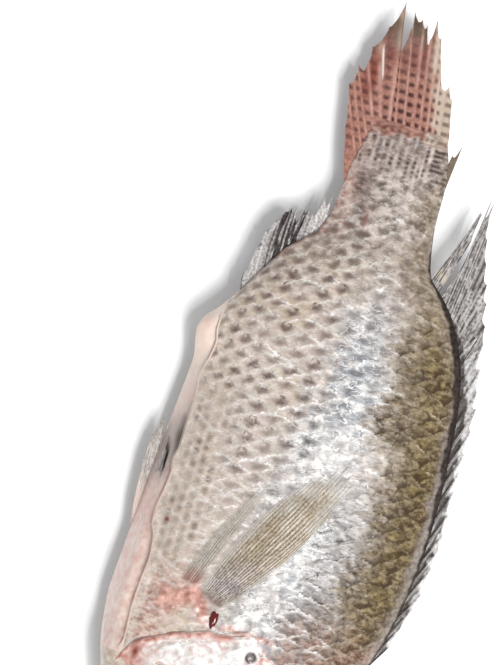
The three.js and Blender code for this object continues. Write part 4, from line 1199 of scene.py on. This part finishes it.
for side, word in ((1, "right"), (-1, "left")):
    for number, sheet in enumerate(fan(pectoral_bases, pectoral_tips, 9, 130, pectoral_bend, 0.6)):
        s, y, ray, reach, along = sheet["s"], sheet["y"], sheet["ray"], sheet["reach"], sheet["along"]
        near_ray = np.abs(off_whole(2 * ray)) * 2
        ridge = hump(near_ray, 0, 0.4)
        thick = 0.2 + 0.16 * ridge * (1 - 0.6 * reach)
        thin_edge = 1.1 + 1.8 * (1 - number) * smooth(ray, 4, 8)
        thin = 1 - smooth(sheet["inside"] + 0.45 * wander(along, ray * 3, 3, 83), 0.05, thin_edge)
        sheer = np.maximum(thin, smooth(reach + 0.12 * wander(s, y, 3, 84), 0.6, 0.98))
        solid = 1 - 0.86 * sheer + 0.25 * ridge * smooth(sheet["inside"], 0.1, 0.8)
        groove = hump(near_ray, 1, 0.4) * (0.5 - 0.35 * sheer) * (0.6 + wander(along, ray * 7, 6, 86))
        marks = dict(
            bone=ridge * np.clip(0.9 * wander(along, ray * 9, 3, 81), 0, 0.7), groove=groove,
            grey=smooth(reach, 0.42, 0.12) * (0.7 + 0.4 * wander(s, y, 4, 85)) * (1 - 0.7 * number),
            sheer=np.maximum(sheer, 0.7 * number),
            rosy=np.maximum(number * smooth(reach, 0.24, 0.04), 0.5 * smooth(reach, 0.06, 0.01)),
            solid=np.clip((1 - 0.5 * number) * solid * smooth(reach, 0, 0.06), 0, 1),
        )
        lift = flank(s, y) + 0.38 + 0.25 * smooth(reach, 0.1, 0.5) + 0.15 * wander(s, y, 5, 82)
        top = settle(s, y, side * (lift + thick), 0.06)
        under = settle(s, y, side * lift, 0.05)
        if side < 0:
            under[..., 2] = np.maximum(under[..., 2], top[..., 2] + 0.05)
        slab_piece(f"pectoral_fin_{word}_{number + 1}", top, under, "tan_pectoral_fin", marks)


# The pelvic fins: two narrow folded fans on the lower flap, pointing back along the belly.
# They are pale and thin, with fine rays, a dark patch near their tips, and painted shadow where the belly's slit
# runs under them.
pelvic_web = new_finish("pale_pelvic_fin")
pelvic_mottle = grain(pelvic_web, 1.0, 3)
pelvic_colour = tint(pelvic_web, spread(pelvic_web, pelvic_mottle, 0.36, 0.64), (150, 138, 132), (206, 194, 186))
pelvic_colour = layered(pelvic_web, pelvic_colour, None, [
    ("rosy", 1, (226, 196, 182)),
    ("dark", 1, (84, 66, 56)),
    ("bone", 1, (226, 218, 212)),
])
pelvic_solid = mark(pelvic_web, "solid")
pelvic_normal = bumped(pelvic_web, pelvic_mottle, 0.1)
coat(pelvic_web, pelvic_colour, 0.36, pelvic_normal, wet=0.5, wet_roughness=0.14, solid=pelvic_solid)
pelvic_fans = (
    ("left", -0.2, [(0, 148, -49.6), (6, 144.5, -46)], [
        (126, -52.5, 0.04), (118, -53.2, 0.05), (111, -52.7, 0.06), (105.4, -51.2, 0.06), (102.4, -50, 0.08),
        (109, -49.2, 0.1), (117, -48.4, 0),
    ]),
    ("right", 2.4, [(0, 148.4, -46.4), (4, 146.2, -43.8)], [
        (123, -48, 0.05), (112.5, -47.6, 0.06), (110, -47.1, 0.08), (114, -46.3, 0.08), (124, -45.2, 0),
    ]),
)
for word, level, bases, tips in pelvic_fans:
    for number, sheet in enumerate(fan(bases, tips, 8, 90, -1.0, 0.6)):
        s, y, ray, reach = sheet["s"], sheet["y"], sheet["ray"], sheet["reach"]
        near_ray = np.abs(off_whole(2 * ray)) * 2
        ridge = hump(near_ray, 0, 0.4)
        # Painted shadow of the belly's slit where it runs under the fins, then a dark patch near their tips.
        slit_shadow_on_fin = patch(s, y + 0.09 * (s - 117.5), 117.5, -46.5, 5.5, 0.55)
        slit_shadow_and_dark_patch = np.maximum(slit_shadow_on_fin, patch(s, y, 108, -49.2, 3.2, 0.6))
        thick = 0.4 + 0.14 * ridge * (1 - 0.6 * reach)
        fin_piece(f"pelvic_fin_{word}_{number + 1}", sheet, level, thick, "pale_pelvic_fin", dict(
            # Painted slit shadow and the dark patch, with fine dark lines between the rays.
            dark=np.clip(slit_shadow_and_dark_patch + 0.25 * hump(near_ray, 1, 0.4), 0, 1),
            bone=0.6 * ridge * smooth(wander(sheet["along"], ray * 5, 3, 91), -0.3, 0.4),
            rosy=smooth(s, 124, 134),
            solid=np.clip(0.35 + 0.65 * smooth(sheet["inside"], 0, 0.9) - 0.5 * smooth(reach, 0.85, 1), 0, 1),
        ))


# A drop of blood at the root of the right pectoral fin, dark red and glossy.
# It has run into a ragged oval and stands on the skin by its own surface tension.
blood = new_finish("fresh_blood")
blood_colour = tint(blood, grain(blood, 1.2, 2), (70, 6, 5), (116, 16, 12))
coat(blood, blood_colour, 0.18, None, wet=1.0, wet_roughness=0.05)
drop_rings = 18
drop_sides = 40
drop_angle = np.linspace(0.05, np.pi / 2, drop_rings)[:, None]
drop_turn = np.linspace(0, 2 * np.pi, drop_sides, endpoint=False)[None, :]
drop_shape = 1 + 0.09 * np.cos(3 * drop_turn + 0.6) + 0.06 * np.cos(5 * drop_turn + 1)
drop_shape = drop_shape + 0.05 * np.cos(8 * drop_turn)
drop_s = 163.9 + 2.9 * np.sin(drop_angle) * np.cos(drop_turn) * drop_shape
drop_y = -14.9 + 1.45 * np.sin(drop_angle) * np.sin(drop_turn) * drop_shape
drop_points = settle(drop_s, drop_y, flank(drop_s, drop_y) + 0.35 + 1.0 * np.cos(drop_angle))
make_piece("blood_drop", drop_points, ring_faces(drop_rings, drop_sides, range(drop_sides)), "fresh_blood")
